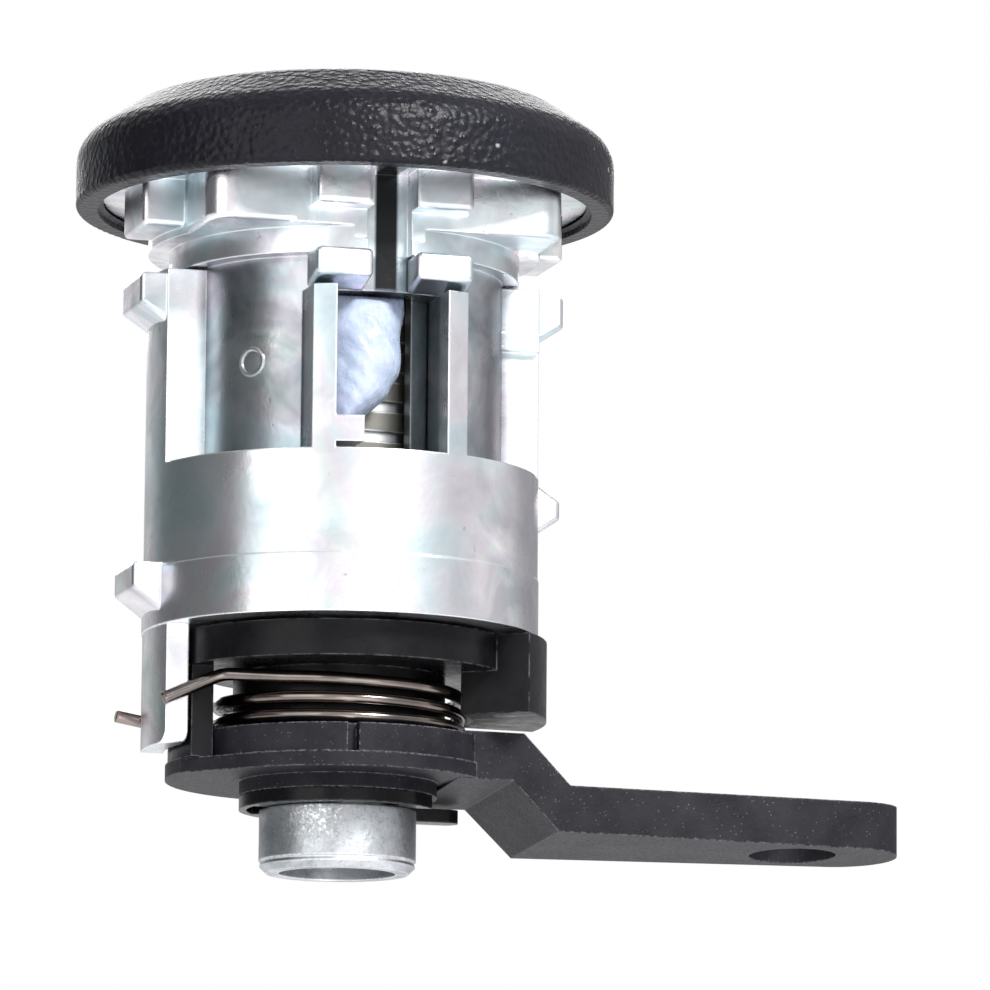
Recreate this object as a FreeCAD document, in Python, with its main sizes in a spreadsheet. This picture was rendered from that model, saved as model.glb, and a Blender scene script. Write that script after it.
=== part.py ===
import FreeCAD, Part
import math
import os
import Sketcher
from FreeCAD import Placement, Rotation, Vector

# Car door lock cylinder, in millimetres.
# +Z runs along the cylinder towards the key, and the origin lies on the axis
# in the plane of the cap's rim, which seats on the door skin.
# -Y is the side with the open window, +X is the side of the lever's arm.

doc = FreeCAD.newDocument("DoorLockCylinder")
sheet = doc.addObject("Spreadsheet::Sheet", "Sizes")


class Size:
    """A number together with the sheet expression that gives it."""

    def __init__(self, number, text):
        self.number = number
        self.text = text

    def __add__(self, other):
        other = as_size(other)
        return Size(self.number + other.number, f"({self.text} + {other.text})")

    def __sub__(self, other):
        other = as_size(other)
        return Size(self.number - other.number, f"({self.text} - {other.text})")

    def __mul__(self, other):
        other = as_size(other)
        return Size(self.number * other.number, f"({self.text} * {other.text})")

    def __truediv__(self, other):
        other = as_size(other)
        return Size(self.number / other.number, f"({self.text} / {other.text})")

    def __neg__(self):
        return Size(-self.number, f"(0 - {self.text})")


def as_size(value):
    """Take a Size as it is, and a plain number as one with no cell behind it."""
    if isinstance(value, Size):
        return value
    return Size(float(value), repr(float(value)))


def root(value):
    return Size(math.sqrt(value.number), f"sqrt({value.text})")


rows = []


def size(alias, number, note):
    """Write one driving dimension into the sheet, and give it back as a Size."""
    rows.append(alias)
    row = len(rows)
    sheet.set(f"A{row}", note)
    sheet.set(f"B{row}", str(number))
    sheet.setAlias(f"B{row}", alias)
    return Size(float(number), f"Sizes.{alias}")


ZERO = as_size(0)

# Clearances
running_gap = size("running_gap", 0.3, "gap between turning and fixed faces")
bore_gap = size("bore_gap", 0.15, "radial gap of a turning fit")
slip_gap = size("slip_gap", 0.1, "radial gap of a loose inner piece")

# Trim cap
cap_radius = size("cap_radius", 22.0, "trim cap, outer radius")
cap_rim_height = size("cap_rim_height", 5.3, "trim cap, upright rim")
cap_height = size("cap_height", 8.9, "trim cap, height at the key hole")
cap_bevel_width = size("cap_bevel_width", 4.8, "trim cap, width of the sloping band")
cap_crown = size("cap_crown", 0.35, "trim cap, rise of the face towards its middle")
cap_wall = size("cap_wall", 1.8, "trim cap, wall of the rim")
cap_roof = size("cap_roof", 2.0, "trim cap, thickness of the face")
cap_hole_gap = size("cap_hole_gap", 0.15, "gap between the cap's hole and the collar")
cap_step_width = size("cap_step_width", 1.6, "width of the step that seats on the flange")
cap_bead = size("cap_bead", 0.45, "height of the bead that snaps under the flange")
rim_round = size("rim_round", 0.5, "rounding of the rim's lower edge")
shoulder_round = size("shoulder_round", 3.0, "rounding between rim and band")
face_round = size("face_round", 2.2, "rounding between band and face")

# Front collar, staked into the housing
face_radius = size("face_radius", 6.8, "plug face, radius")
collar_bore = face_radius + bore_gap
collar_wall = size("collar_wall", 0.75, "front collar, wall of its neck")
collar_top = size("collar_top", 7.2, "front collar, height of its neck")
collar_plate_rest = size("collar_plate_rest", 3.15, "front collar, how far its plate passes the plug's bore")
collar_plate = size("collar_plate", 1.0, "front collar, plate thickness")

# Housing
flange_bottom = size("flange_bottom", 0.9, "housing flange, underside")
flange_top = size("flange_top", 2.6, "housing flange, top")
plug_bore = size("plug_bore", 10.35, "housing, bore for the plug")
barrel_wall = size("barrel_wall", 2.55, "housing, wall of the barrel between the ribs")
collar_plate_radius = plug_bore + collar_plate_rest
channel_floor = size("channel_floor", 1.4, "housing, floor of the retainer channel above the barrel")
rib_stand = size("rib_stand", 3.1, "housing, how far drum and ribs stand above the barrel")
barrel_radius = plug_bore + barrel_wall
neck_radius = barrel_radius + channel_floor
body_radius = barrel_radius + rib_stand
ring_depth = size("ring_depth", 3.65, "depth of the notched ring below the seat")
channel_height = size("channel_height", 2.15, "height of the retainer channel")
barrel_length = size("barrel_length", 16.1, "length of the barrel between the ribs")
drum_length = size("drum_length", 13.1, "length of the drum")
band_height = size("band_height", 4.7, "drum, height of the band below its step")
band_stand = size("band_stand", 0.08, "drum, how far the band stands proud")
rear_wall = size("rear_wall", 1.6, "wall that closes the bore behind the plug")
cast_round = size("cast_round", 0.45, "rounding of cast edges")

pad_depth = size("pad_depth", 2.0, "front pad, depth of its flat below the ring")
pad_flat = body_radius - pad_depth
pad_half = size("pad_half", 14.8, "front pad, half width")
pad_corner = size("pad_corner", 2.0, "front pad, rounding of its upright corners")
slot_half = size("slot_half", 1.8, "front slot, half width")
stud_half = size("stud_half", 6.5, "front studs, outer half width")
stud_front = body_radius
stud_depth = size("stud_depth", 2.25, "upper studs, depth below the seat")
guide_height = size("guide_height", 2.2, "lower studs, height of their faces")
guide_slope = size("guide_slope", 0.8, "lower studs, drop of their sloped undersides")
lobe_stand = size("lobe_stand", 2.3, "side lobes, how far they stand above the ribs")
lobe_reach = body_radius + lobe_stand
lobe_front = size("lobe_front", 5.8, "side lobes, reach from the middle on their long side")
lobe_back = size("lobe_back", 1.2, "side lobes, reach from the middle on their short side")
lobe_depth = size("lobe_depth", 3.0, "side lobes, depth below the seat")

rib_half = size("rib_half", 3.5, "side ribs, half width")
rib_drop = size("rib_drop", 0.2, "side ribs, start below the channel")
window_half = size("window_half", 4.6, "front window, half width")
window_top = size("window_top", 8.7, "front window, depth of its top below the seat")
jamb = size("jamb", 1.8, "front window, width of its side posts")
back_rib_half = size("back_rib_half", 6.5, "back rib, half width")
back_rib_short = size("back_rib_short", 1.5, "back rib, how far it stops short of the drum")
lug_half = size("lug_half", 3.3, "lugs on the side ribs, half width")
lug_stand = size("lug_stand", 1.8, "upper lugs, how far they stand above the ribs")
lug_reach = body_radius + lug_stand
lug_height = size("lug_height", 2.5, "upper lugs, height of their faces")
lug_slope = size("lug_slope", 1.3, "upper lugs, drop of their sloped undersides")
snap_stand = size("snap_stand", 2.1, "lower lug of the tab side, how far it stands")
snap_reach = body_radius + snap_stand
snap_level = size("snap_level", 5.0, "lower lug of the tab side, height above the drum's end")
snap_height = size("snap_height", 2.1, "lower lug of the tab side, height of its face")
snap_slope = size("snap_slope", 1.7, "lower lug of the tab side, drop of its underside")
barb_stand = size("barb_stand", 1.6, "lower lug of the arm side, how far it stands")
barb_reach = body_radius + barb_stand
barb_rise = size("barb_rise", 1.2, "lower lug of the arm side, length of its lead-in")
barb_face = size("barb_face", 1.5, "lower lug of the arm side, height of its face")
ledge_proud = size("ledge_proud", 1.0, "small ledge beside the arm side's rib, how far it stands")
ledge_level = size("ledge_level", 9.7, "small ledge, depth of its top below the seat")
ledge_height = size("ledge_height", 1.5, "small ledge, height")
foot_width = size("foot_width", 2.2, "foot of the window's left post, width")
foot_height = size("foot_height", 2.1, "foot of the window's left post, height")
foot_lift = size("foot_lift", 0.5, "foot of the window's left post, above the drum")
tab_half = size("tab_half", 4.2, "spring tab, half width")
tab_wall = size("tab_wall", 1.8, "spring tab, thickness")
tab_length = size("tab_length", 9.6, "spring tab, length below the drum")
tab_round = size("tab_round", 1.2, "spring tab, rounding of its corners")

# Plug and its face
plug_radius = plug_bore - bore_gap
plug_wall = size("plug_wall", 1.7, "plug, wall round the discs")
cup_bore = plug_radius - plug_wall
face_top = size("face_top", 7.8, "plug face, height of its front")
face_plate = size("face_plate", 1.4, "plug face, thickness round the keyway")
face_wall = size("face_wall", 0.7, "plug face, wall behind the keyway")
face_bore = face_radius - face_wall
face_flange = size("face_flange", 2.0, "plug face, thickness of its flange")
skirt_wall = size("skirt_wall", 1.9, "plug face, wall of its skirt")
skirt_bore = cup_bore - slip_gap - skirt_wall
skirt_ledge_width = size("skirt_ledge_width", 1.1, "plug face, width of the ledge inside its skirt")
skirt_ledge_bore = skirt_bore - skirt_ledge_width
skirt_ledge = size("skirt_ledge", 2.0, "plug face, height of the ledge inside its skirt")
skirt_depth = size("skirt_depth", 7.8, "plug face, depth of its skirt below the seat")
key_half_width = size("key_half_width", 3.6, "keyway, half width")
key_side = size("key_side", 1.9, "keyway, half height of its straight sides")
key_corner_x = size("key_corner_x", 2.2, "keyway, upper corner from the middle")
key_corner_y = size("key_corner_y", 3.8, "keyway, upper corner above the middle")
key_notch_half = size("key_notch_half", 1.25, "keyway, half width of its pointed notch")
key_notch_foot = size("key_notch_foot", 3.4, "keyway, foot of its pointed notch")
key_notch_tip = size("key_notch_tip", 5.0, "keyway, tip of its pointed notch")
plug_slot_half = size("plug_slot_half", 3.0, "plug, half width of the slot at the window")

# Discs and side bar
disc_thickness = size("disc_thickness", 1.6, "tumbler disc, thickness")
spacer_thickness = size("spacer_thickness", 0.85, "spacer disc, thickness")
spacer_inset = size("spacer_inset", 0.4, "spacer disc, how far it stays inside the tumblers")
disc_radius = cup_bore - slip_gap * 2
spacer_radius = disc_radius - spacer_inset
disc_hole = size("disc_hole", 3.6, "disc, radius of the key's opening")
disc_chord = size("disc_chord", 2.9, "disc, distance of the opening's flat")
bar_width = size("bar_width", 1.7, "side bar, width")
gate_height = size("gate_height", 1.0, "gate, how deep the side bar drops into the discs")
bar_foot = disc_radius - gate_height
bar_overhang = size("bar_overhang", 3.4, "side bar, length past the first disc")
bar_tail = size("bar_tail", 2.9, "side bar, length past the last disc")
gate_depth = size("gate_depth", 0.1, "gate, depth under the side bar")
groove_deep = size("groove_deep", 0.95, "housing groove, depth")
groove_reach = plug_bore + groove_deep
groove_half = size("groove_half", 1.1, "housing groove, half width")
bar_spring_radius = size("bar_spring_radius", 0.45, "side bar spring, mean radius")
bar_spring_wire = size("bar_spring_wire", 0.1, "side bar spring, wire radius")
bar_spring_length = size("bar_spring_length", 1.4, "side bar spring, length")
turn_limit = size("turn_limit", 70, "turn of the plug each way, in degrees")
stop_lug_half = size("stop_lug_half", 0.95, "plug's stop lug, half width")
stop_lug_height = size("stop_lug_height", 2.3, "plug's stop lug, height")

# Shutter
shutter_pin_radius = size("shutter_pin_radius", 0.5, "shutter pin, radius")
shutter_axis_y = size("shutter_axis_y", 4.6, "shutter pin, height above the middle")
shutter_axis_z = size("shutter_axis_z", 5.3, "shutter pin, height above the seat")
shutter_thickness = size("shutter_thickness", 0.8, "shutter flap, thickness")
shutter_radius = size("shutter_radius", 5.6, "shutter flap, radius of its free end")
shutter_half = size("shutter_half", 3.7, "shutter flap, half width")
shutter_relief = size("shutter_relief", 0.9, "shutter flap, distance of its plate from the pin's axis")
shutter_knuckle = size("shutter_knuckle", 0.9, "shutter knuckle, radius")
knuckle_half = size("knuckle_half", 1.1, "shutter knuckle, half length")
flap_wire = size("flap_wire", 0.08, "shutter spring, wire radius")
flap_coil = size("flap_coil", 0.66, "shutter spring, mean radius")
flap_coil_length = size("flap_coil_length", 0.9, "shutter spring, length of its coil")

# Shaft, dog and tail
dog_step = size("dog_step", 2.0, "dog behind the plug, step in from the plug")
dog_radius = plug_radius - dog_step
dog_flat_cut = size("dog_flat_cut", 1.7, "dog behind the plug, depth of its flats")
dog_flat = dog_radius - dog_flat_cut
shaft_radius = size("shaft_radius", 6.35, "shaft and tail, radius")
tail_length = size("tail_length", 5.1, "tail, length below the clip")
tail_wall = size("tail_wall", 1.6, "tail, wall")
tail_bore = shaft_radius - tail_wall
tail_bore_depth = size("tail_bore_depth", 4.0, "tail, bore depth")
tail_round = size("tail_round", 0.6, "tail, rounding of its end")
lip_height = size("lip_height", 1.0, "tail, height of the lip at its end")
lip_groove = size("lip_groove", 0.15, "tail, depth of the groove above the lip")

# Spring carrier
tab_inner = body_radius - tab_wall
carrier_radius = tab_inner - running_gap
carrier_plate = size("carrier_plate", 2.9, "spring carrier, plate thickness")
carrier_back_cut = size("carrier_back_cut", 2.7, "spring carrier, how far its plate is cut back at the rear")
carrier_cut = carrier_radius - carrier_back_cut
carrier_open_start = size("carrier_open_start", 30, "spring carrier, where its open back starts, in degrees")
carrier_open_sweep = size("carrier_open_sweep", 120, "spring carrier, how far its open back reaches, in degrees")
hub_wall = size("hub_wall", 2.15, "spring carrier, wall of its hub")
carrier_hub = shaft_radius + slip_gap + hub_wall
spring_room = size("spring_room", 5.1, "height of the room for the spring")
spring_wire = size("spring_wire", 0.52, "return spring, wire radius")
spring_clearance = size("spring_clearance", 0.68, "return spring, room round the hub")
spring_radius = carrier_hub + spring_clearance + spring_wire
block_inner = spring_radius + spring_wire + spring_clearance * 0.7
block_stand = size("block_stand", 0.8, "carrier block, how far it stands past the drum")
block_outer = body_radius + block_stand
block_height = size("block_height", 3.5, "carrier block, height below the plate")
block_start = size("block_start", -40, "carrier block, where it starts, in degrees")
block_sweep = size("block_sweep", 45, "carrier block, how far it reaches, in degrees")
post_outer = carrier_radius - slip_gap
post_wall = size("post_wall", 1.7, "carrier post, thickness")
post_inner = post_outer - post_wall
post_half = size("post_half", 3.9, "carrier post, half width")
tenon_half = size("tenon_half", 2.0, "tenons into the lever, half width")
tenon_wall = size("tenon_wall", 1.7, "tenons into the lever, thickness")
tenon_inner = carrier_hub - tenon_wall
tenon_length = size("tenon_length", 2.1, "tenons into the lever, length")

# Return spring
spring_turns = size("spring_turns", 2, "return spring, whole turns")
leg_gap = size("leg_gap", 0.18, "return spring, gap between its legs and the tab")
leg_side = tab_half + spring_wire + leg_gap
front_leg_past = size("front_leg_past", 0.2, "return spring, how far the front leg passes the tab")
front_leg_reach = body_radius + front_leg_past
front_leg_drop = size("front_leg_drop", 2.3, "return spring, drop of the front leg")
rear_leg_past = size("rear_leg_past", 1.3, "return spring, how far the rear leg passes the tab")
rear_leg_reach = body_radius + rear_leg_past
rear_leg_rise = size("rear_leg_rise", 1.2, "return spring, rise of the rear leg")
spring_rest = size("spring_rest", 0.2, "return spring, gap above and below its coil")
spring_bend = size("spring_bend", 2.6, "return spring, length of the bends into its legs")
BEND_TURN = 12

# Lever
collar_gap = size("collar_gap", 0.2, "gap between the carrier's post and the lever's collar")
lever_collar = post_inner - collar_gap
lever_collar_height = size("lever_collar_height", 2.3, "lever, collar height")
plate_past = size("plate_past", 0.1, "lever, how far its plate passes the carrier")
lever_plate_radius = carrier_radius + plate_past
lever_plate = size("lever_plate", 1.2, "lever, plate thickness")
plate_lip = size("plate_lip", 0.15, "lever, how far its plate passes the collar in front")
plate_cheek = size("plate_cheek", 2.5, "lever, where its plate narrows in front of the middle")
cheek_run = size("cheek_run", 9.3, "lever, how far out the cheek meets the collar")
boss_wall = size("boss_wall", 1.55, "lever, wall of its boss")
lever_boss = shaft_radius + slip_gap + boss_wall
lever_boss_height = size("lever_boss_height", 1.2, "lever, boss height")
arm_root_half = size("arm_root_half", 8.15, "lever arm, half width at the axis")
arm_tip_half = size("arm_tip_half", 4.75, "lever arm, half width and radius of its end")
arm_slant = size("arm_slant", 0.9, "lever arm, drop of its underside from front to back")
arm_thickness = size("arm_thickness", 3.7, "lever arm, thickness")
arm_crank = size("arm_crank", 4.0, "lever arm, drop of its crank")
arm_root = size("arm_root", 13.6, "lever arm, length of its root")
arm_root_rise = size("arm_root_rise", 0.3, "lever arm, rise of its root above the collar")
arm_reach = size("arm_reach", 47.5, "lever arm, reach from the axis")
arm_eye_inset = size("arm_eye_inset", 8.8, "lever arm, distance of its eye from the end")
arm_eye = arm_reach - arm_eye_inset
arm_eye_radius = size("arm_eye_radius", 3.6, "lever arm, radius of its eye")
rim_start = size("rim_start", 20, "lever rim at the back, where it starts, in degrees")
rim_sweep = size("rim_sweep", 124, "lever rim at the back, how far it reaches, in degrees")
rim_end_wall = size("rim_end_wall", 8, "lever rim at the back, wall at its end, in degrees")
lever_rim_outer = post_outer
pocket_wall = size("pocket_wall", 0.9, "lever pocket, wall outside it")
pocket_depth = size("pocket_depth", 1.9, "lever pocket, depth")
notch_half = size("notch_half", 0.45, "lever collar, half width of its notch")
notch_offset = size("notch_offset", 1.9, "lever collar, distance of its notch from the middle")

# Retaining clip
clip_thickness = size("clip_thickness", 1.1, "retaining clip, thickness")
clip_stand = size("clip_stand", 1.65, "retaining clip, how far it stands above the shaft")
clip_bite = size("clip_bite", 0.7, "retaining clip, how deep it sits in the shaft")
clip_relief_height = size("clip_relief_height", 1.05, "retaining clip, height of its reliefs above the shaft")
clip_radius = shaft_radius + clip_stand
clip_bore = shaft_radius - clip_bite
clip_relief = shaft_radius + clip_relief_height
clip_mouth = size("clip_mouth", 4.4, "retaining clip, half width of its mouth")
prong_reach = size("prong_reach", 11.6, "retaining clip, reach of its long prong")
prong_width = size("prong_width", 2.0, "retaining clip, width of its long prong")
clip_groove = size("clip_groove", 0.1, "retaining clip, gap to its groove")

# Levels that follow from the lengths
ring_bottom = -ring_depth
channel_bottom = ring_bottom - channel_height
drum_top = channel_bottom - barrel_length
drum_bottom = drum_top - drum_length
collar_seat = flange_top - collar_plate
flange_radius = cap_radius - cap_wall - running_gap
collar_neck = collar_bore + collar_wall
face_flange_top = collar_seat - running_gap
plug_top = face_flange_top - face_flange
rear_seat = drum_bottom + rear_wall
plug_bottom = rear_seat + running_gap
stack_top = -skirt_depth
disc_pitch = disc_thickness + spacer_thickness
DISC_COUNT = 6
FLAP_TURNS = 3
BAR_SPRING_TURNS = 4
stack_bottom = stack_top - disc_pitch * (DISC_COUNT - 1) - disc_thickness
bar_top = stack_top + bar_overhang
bar_bottom = stack_bottom - bar_tail
carrier_top = drum_bottom - running_gap
carrier_bottom = carrier_top - carrier_plate
lever_top = carrier_bottom - spring_room
plate_top = lever_top - lever_collar_height
plate_bottom = plate_top - lever_plate
clip_top = plate_bottom - lever_boss_height
clip_bottom = clip_top - clip_thickness
shaft_end = clip_bottom - tail_length
lever_bore = shaft_radius + slip_gap

# Helpers: sketches, turned and extruded solids, blocks, rods and booleans
PLANES = {
    "XY": Rotation(),
    "XZ": Rotation(Vector(1, 0, 0), 90),
    "YZ": Rotation(Vector(1, 1, 1), 120),
}
DEPTH_AXIS = {"XY": "z", "XZ": "y", "YZ": "x"}


def bind(item, path, value):
    item.setExpression(path, as_size(value).text)


def pair_of_sizes(points):
    return [(as_size(x), as_size(y)) for x, y in points]


def draw_outline(sketch, points):
    """Draw a closed polygon and tie each corner to the sheet."""
    points = pair_of_sizes(points)
    corners = [Vector(x.number, y.number, 0) for x, y in points]
    count = len(corners)
    for i in range(count):
        sketch.addGeometry(Part.LineSegment(corners[i], corners[(i + 1) % count]), False)
    for i in range(count):
        sketch.addConstraint(Sketcher.Constraint("Coincident", i, 2, (i + 1) % count, 1))
    for i, (x, y) in enumerate(points):
        for kind, letter, value in (("DistanceX", "x", x), ("DistanceY", "y", y)):
            index = sketch.addConstraint(Sketcher.Constraint(kind, -1, 1, i, 1, value.number))
            name = f"{letter}_{i}"
            sketch.renameConstraint(index, name)
            bind(sketch, f"Constraints.{name}", value)


def outline(name, plane, points, depth=ZERO):
    """A closed sketch of its own, on a plane through the axis or across it."""
    sketch = doc.addObject("Sketcher::SketchObject", name)
    sketch.Placement = Placement(Vector(), PLANES[plane])
    draw_outline(sketch, points)
    bind(sketch, f"Placement.Base.{DEPTH_AXIS[plane]}", depth)
    return sketch


def turned(name, points):
    """Turn an outline of radius and height round the cylinder's axis."""
    piece = doc.addObject("Part::Revolution", name)
    piece.Source = outline(name + "Outline", "XZ", points)
    piece.Axis = (0, 0, 1)
    piece.Base = (0, 0, 0)
    piece.Angle = 360
    piece.Solid = True
    return piece


def extruded(name, plane, points, low, high):
    """Carry an outline from one level of its plane's normal axis to another."""
    low = as_size(low)
    high = as_size(high)
    start = high if plane == "XZ" else low
    piece = doc.addObject("Part::Extrusion", name)
    piece.Base = outline(name + "Outline", plane, points, start)
    piece.DirMode = "Normal"
    piece.Solid = True
    bind(piece, "LengthFwd", high - low)
    return piece


def slanted(name, points, low, high, drop):
    """Carry an upright outline from front to back, sinking by a drop on the way."""
    piece = doc.addObject("Part::Extrusion", name)
    piece.Base = outline(name + "Outline", "XZ", points, low)
    piece.DirMode = "Custom"
    piece.Solid = True
    depth = high - low
    piece.Dir = (0, depth.number, -drop.number)
    bind(piece, "Dir.y", depth)
    bind(piece, "Dir.z", -drop)
    bind(piece, "LengthFwd", root(depth * depth + drop * drop))
    return piece


def block(name, x, y, z):
    """A box between two values on each axis."""
    piece = doc.addObject("Part::Box", name)
    for side, letter, (low, high) in zip(("Length", "Width", "Height"), "xyz", (x, y, z)):
        low = as_size(low)
        bind(piece, side, as_size(high) - low)
        bind(piece, f"Placement.Base.{letter}", low)
    return piece


def rod(name, radius, low, high, x=ZERO, y=ZERO):
    """An upright cylinder between two levels."""
    piece = doc.addObject("Part::Cylinder", name)
    bind(piece, "Radius", radius)
    bind(piece, "Height", as_size(high) - low)
    bind(piece, "Placement.Base.x", x)
    bind(piece, "Placement.Base.y", y)
    bind(piece, "Placement.Base.z", low)
    return piece


def sector(name, radius, low, high, start, sweep):
    """A slice of an upright cylinder, from one bearing round to another."""
    piece = rod(name, radius, low, high)
    piece.Placement = Placement(Vector(), Rotation(Vector(0, 0, 1), as_size(start).number))
    bind(piece, "Placement.Base.z", low)
    bind(piece, "Placement.Rotation.Angle", start)
    bind(piece, "Angle", sweep)
    return piece


def fused(name, *pieces):
    joined = doc.addObject("Part::MultiFuse", name)
    joined.Shapes = list(pieces)
    joined.Refine = True
    return joined


def common(name, first, second):
    shared = doc.addObject("Part::MultiCommon", name)
    shared.Shapes = [first, second]
    return shared


def cut(name, base, *tools):
    result = doc.addObject("Part::Cut", name)
    result.Base = base
    result.Tool = tools[0] if len(tools) == 1 else fused(name + "Tools", *tools)
    result.Refine = True
    return result


def softened(name, base, radius, wanted):
    """Round the edges of a solid whose middle point passes a test."""
    doc.recompute()
    rounded = doc.addObject("Part::Fillet", name)
    rounded.Base = base
    chosen = []
    for number, edge in enumerate(base.Shape.Edges, 1):
        middle = edge.valueAt((edge.FirstParameter + edge.LastParameter) / 2)
        if wanted(middle, edge):
            chosen.append((number, radius.number, radius.number))
    rounded.Edges = chosen
    return rounded


def label(piece, name):
    """Name a finished sub-part, which also names its file."""
    piece.Label = name
    nodes.append(piece)
    return piece


nodes = []


def origin_plane(body, role):
    return [item for item in body.Origin.OriginFeatures if item.Role == role][0]


def body_sketch(body, name, role):
    sketch = body.newObject("Sketcher::SketchObject", name)
    sketch.AttachmentSupport = [(origin_plane(body, role), "")]
    sketch.MapMode = "FlatFace"
    return sketch


def turn_between(start, corner, end):
    """The centre, axis and angle in degrees of the arc that touches both sides of an even corner."""
    leaving = (corner - start).normalize()
    half_chord = (end - start).Length / 2
    lift = math.acos(min(1.0, half_chord / (corner - start).Length))
    axis = leaving.cross(end - corner).normalize()
    centre = start + axis.cross(leaving) * (half_chord / math.sin(lift))
    return centre, axis, math.degrees(lift) * 2


def corners_between(here, leaving, there, arriving):
    """The two even corners whose arcs run from one point and direction to another."""
    chord = there - here
    along = chord.dot(leaving + arriving)
    bend = 1 - leaving.dot(arriving)
    reach = (math.sqrt(along ** 2 + 2 * bend * chord.dot(chord)) - along) / (2 * bend)
    first = here + leaving * reach
    second = there - arriving * reach
    joint = (first + second) * 0.5
    return [(here, first, joint), (joint, second, there)]


def coil_stations(radius, start, sweep, low, rise):
    """Points and directions along a coil, from one bearing round by a signed sweep, in degrees."""
    count = max(2, math.ceil(abs(sweep) / 60))
    side = math.copysign(1, sweep)
    slope = rise / (math.radians(abs(sweep)) * radius)
    stations = []
    for step in range(count + 1):
        bearing = math.radians(start + sweep * step / count)
        point = Vector(radius * math.cos(bearing), radius * math.sin(bearing), low + rise * step / count)
        direction = Vector(-side * math.sin(bearing), side * math.cos(bearing), slope)
        stations.append((point, direction.normalize()))
    return stations


def swept_wire(stations, wire_radius):
    """Round wire through a chain of points and directions, as tangent arcs and straight runs."""
    point, direction = stations[0]
    ring = Part.Wire(Part.makeCircle(wire_radius, point, direction))
    faces = [Part.Face(ring)]
    for (here, leaving), (there, arriving) in zip(stations, stations[1:]):
        if 1 - leaving.dot(arriving) < 0.000001:
            faces += ring.extrude(there - here).Faces
            ring.translate(there - here)
            continue
        for corner in corners_between(here, leaving, there, arriving):
            centre, axis, angle = turn_between(*corner)
            faces += ring.revolve(centre, axis, angle).Faces
            ring.rotate(centre, axis, angle)
    faces.append(Part.Face(ring))
    skin = Part.makeShell(faces)
    skin.sewShape()
    solid = Part.makeSolid(skin)
    if solid.Volume < 0:
        solid.reverse()
    return solid


def wire_piece(name, shape, placement):
    """A sub-part bent from wire, given its place after its shape."""
    piece = doc.addObject("Part::Feature", name)
    piece.Shape = shape
    piece.Placement = placement
    return piece


# Trim cap: a moulded shell, turned, with a bead inside its rim
def make_trim_cap():
    body = doc.addObject("PartDesign::Body", "TrimCap")
    sketch = body_sketch(body, "TrimCapOutline", "XZ_Plane")
    inner = cap_radius - cap_wall
    hole = collar_neck + cap_hole_gap
    face_edge = cap_radius - cap_bevel_width
    under = cap_height - cap_roof
    bead_low = flange_bottom - cap_bead
    draw_outline(sketch, [
        (cap_radius, ZERO),
        (cap_radius, cap_rim_height),
        (face_edge, cap_height - cap_crown),
        (hole, cap_height),
        (hole, under),
        (inner - cap_step_width * 2, under),
        (inner - cap_step_width, flange_top + cap_wall),
        (inner - cap_step_width, flange_top),
        (inner, flange_top),
        (inner, flange_bottom),
        (inner - cap_bead, bead_low + cap_bead / 2),
        (inner, bead_low),
        (inner, ZERO),
    ])
    turn = body.newObject("PartDesign::Revolution", "TrimCapTurn")
    turn.Profile = sketch
    turn.ReferenceAxis = (sketch, ["V_Axis"])
    turn.Angle = 360
    doc.recompute()
    feature = turn
    places = [
        ("RimRound", rim_round, cap_radius, ZERO),
        ("ShoulderRound", shoulder_round, cap_radius, cap_rim_height),
        ("FaceRound", face_round, face_edge, cap_height - cap_crown),
        ("HoleRound", rim_round, hole, cap_height),
    ]
    for name, radius, edge_radius, level in places:
        number = circle_number(feature.Shape, edge_radius.number, level.number)
        rounded = body.newObject("PartDesign::Fillet", "TrimCap" + name)
        rounded.Base = (feature, [f"Edge{number}"])
        bind(rounded, "Radius", radius)
        doc.recompute()
        feature = rounded
    return label(body, "trim_cap")


def circle_number(shape, radius, level):
    """The number of the round edge of that radius at that level."""
    for number, edge in enumerate(shape.Edges, 1):
        round_edge = isinstance(edge.Curve, Part.Circle)
        if round_edge and abs(edge.Curve.Radius - radius) < 0.01 and abs(edge.Curve.Center.z - level) < 0.01:
            return number
    raise ValueError(f"no round edge of radius {radius} at {level}")


# Front collar: a plate staked into the housing, with a neck round the plug's face
def make_front_collar():
    return label(turned("FrontCollar", [
        (collar_bore, collar_top),
        (collar_neck, collar_top),
        (collar_neck, flange_top),
        (collar_plate_radius, flange_top),
        (collar_plate_radius, collar_seat),
        (collar_bore, collar_seat),
    ]), "front_collar")


# Housing: one zinc casting with a notched ring, ribs, lugs, windows, a drum and a tab
def housing_core():
    counterbore = collar_plate_radius + slip_gap
    rear_hole = dog_radius + bore_gap * 2
    return turned("HousingCore", [
        (counterbore, flange_top),
        (flange_radius, flange_top),
        (flange_radius, flange_bottom),
        (body_radius, flange_bottom),
        (body_radius, ring_bottom),
        (neck_radius, ring_bottom),
        (neck_radius, channel_bottom),
        (barrel_radius, channel_bottom),
        (barrel_radius, drum_top),
        (body_radius, drum_top),
        (body_radius, drum_bottom + band_height),
        (body_radius + band_stand, drum_bottom + band_height),
        (body_radius + band_stand, drum_bottom),
        (rear_hole, drum_bottom),
        (rear_hole, rear_seat),
        (plug_bore, rear_seat),
        (plug_bore, collar_seat),
        (counterbore, collar_seat),
    ])


def upright(edge):
    """Whether an edge runs along the cylinder's axis."""
    if not isinstance(edge.Curve, Part.Line):
        return False
    return abs(edge.Curve.Direction.z) > 0.99


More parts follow.
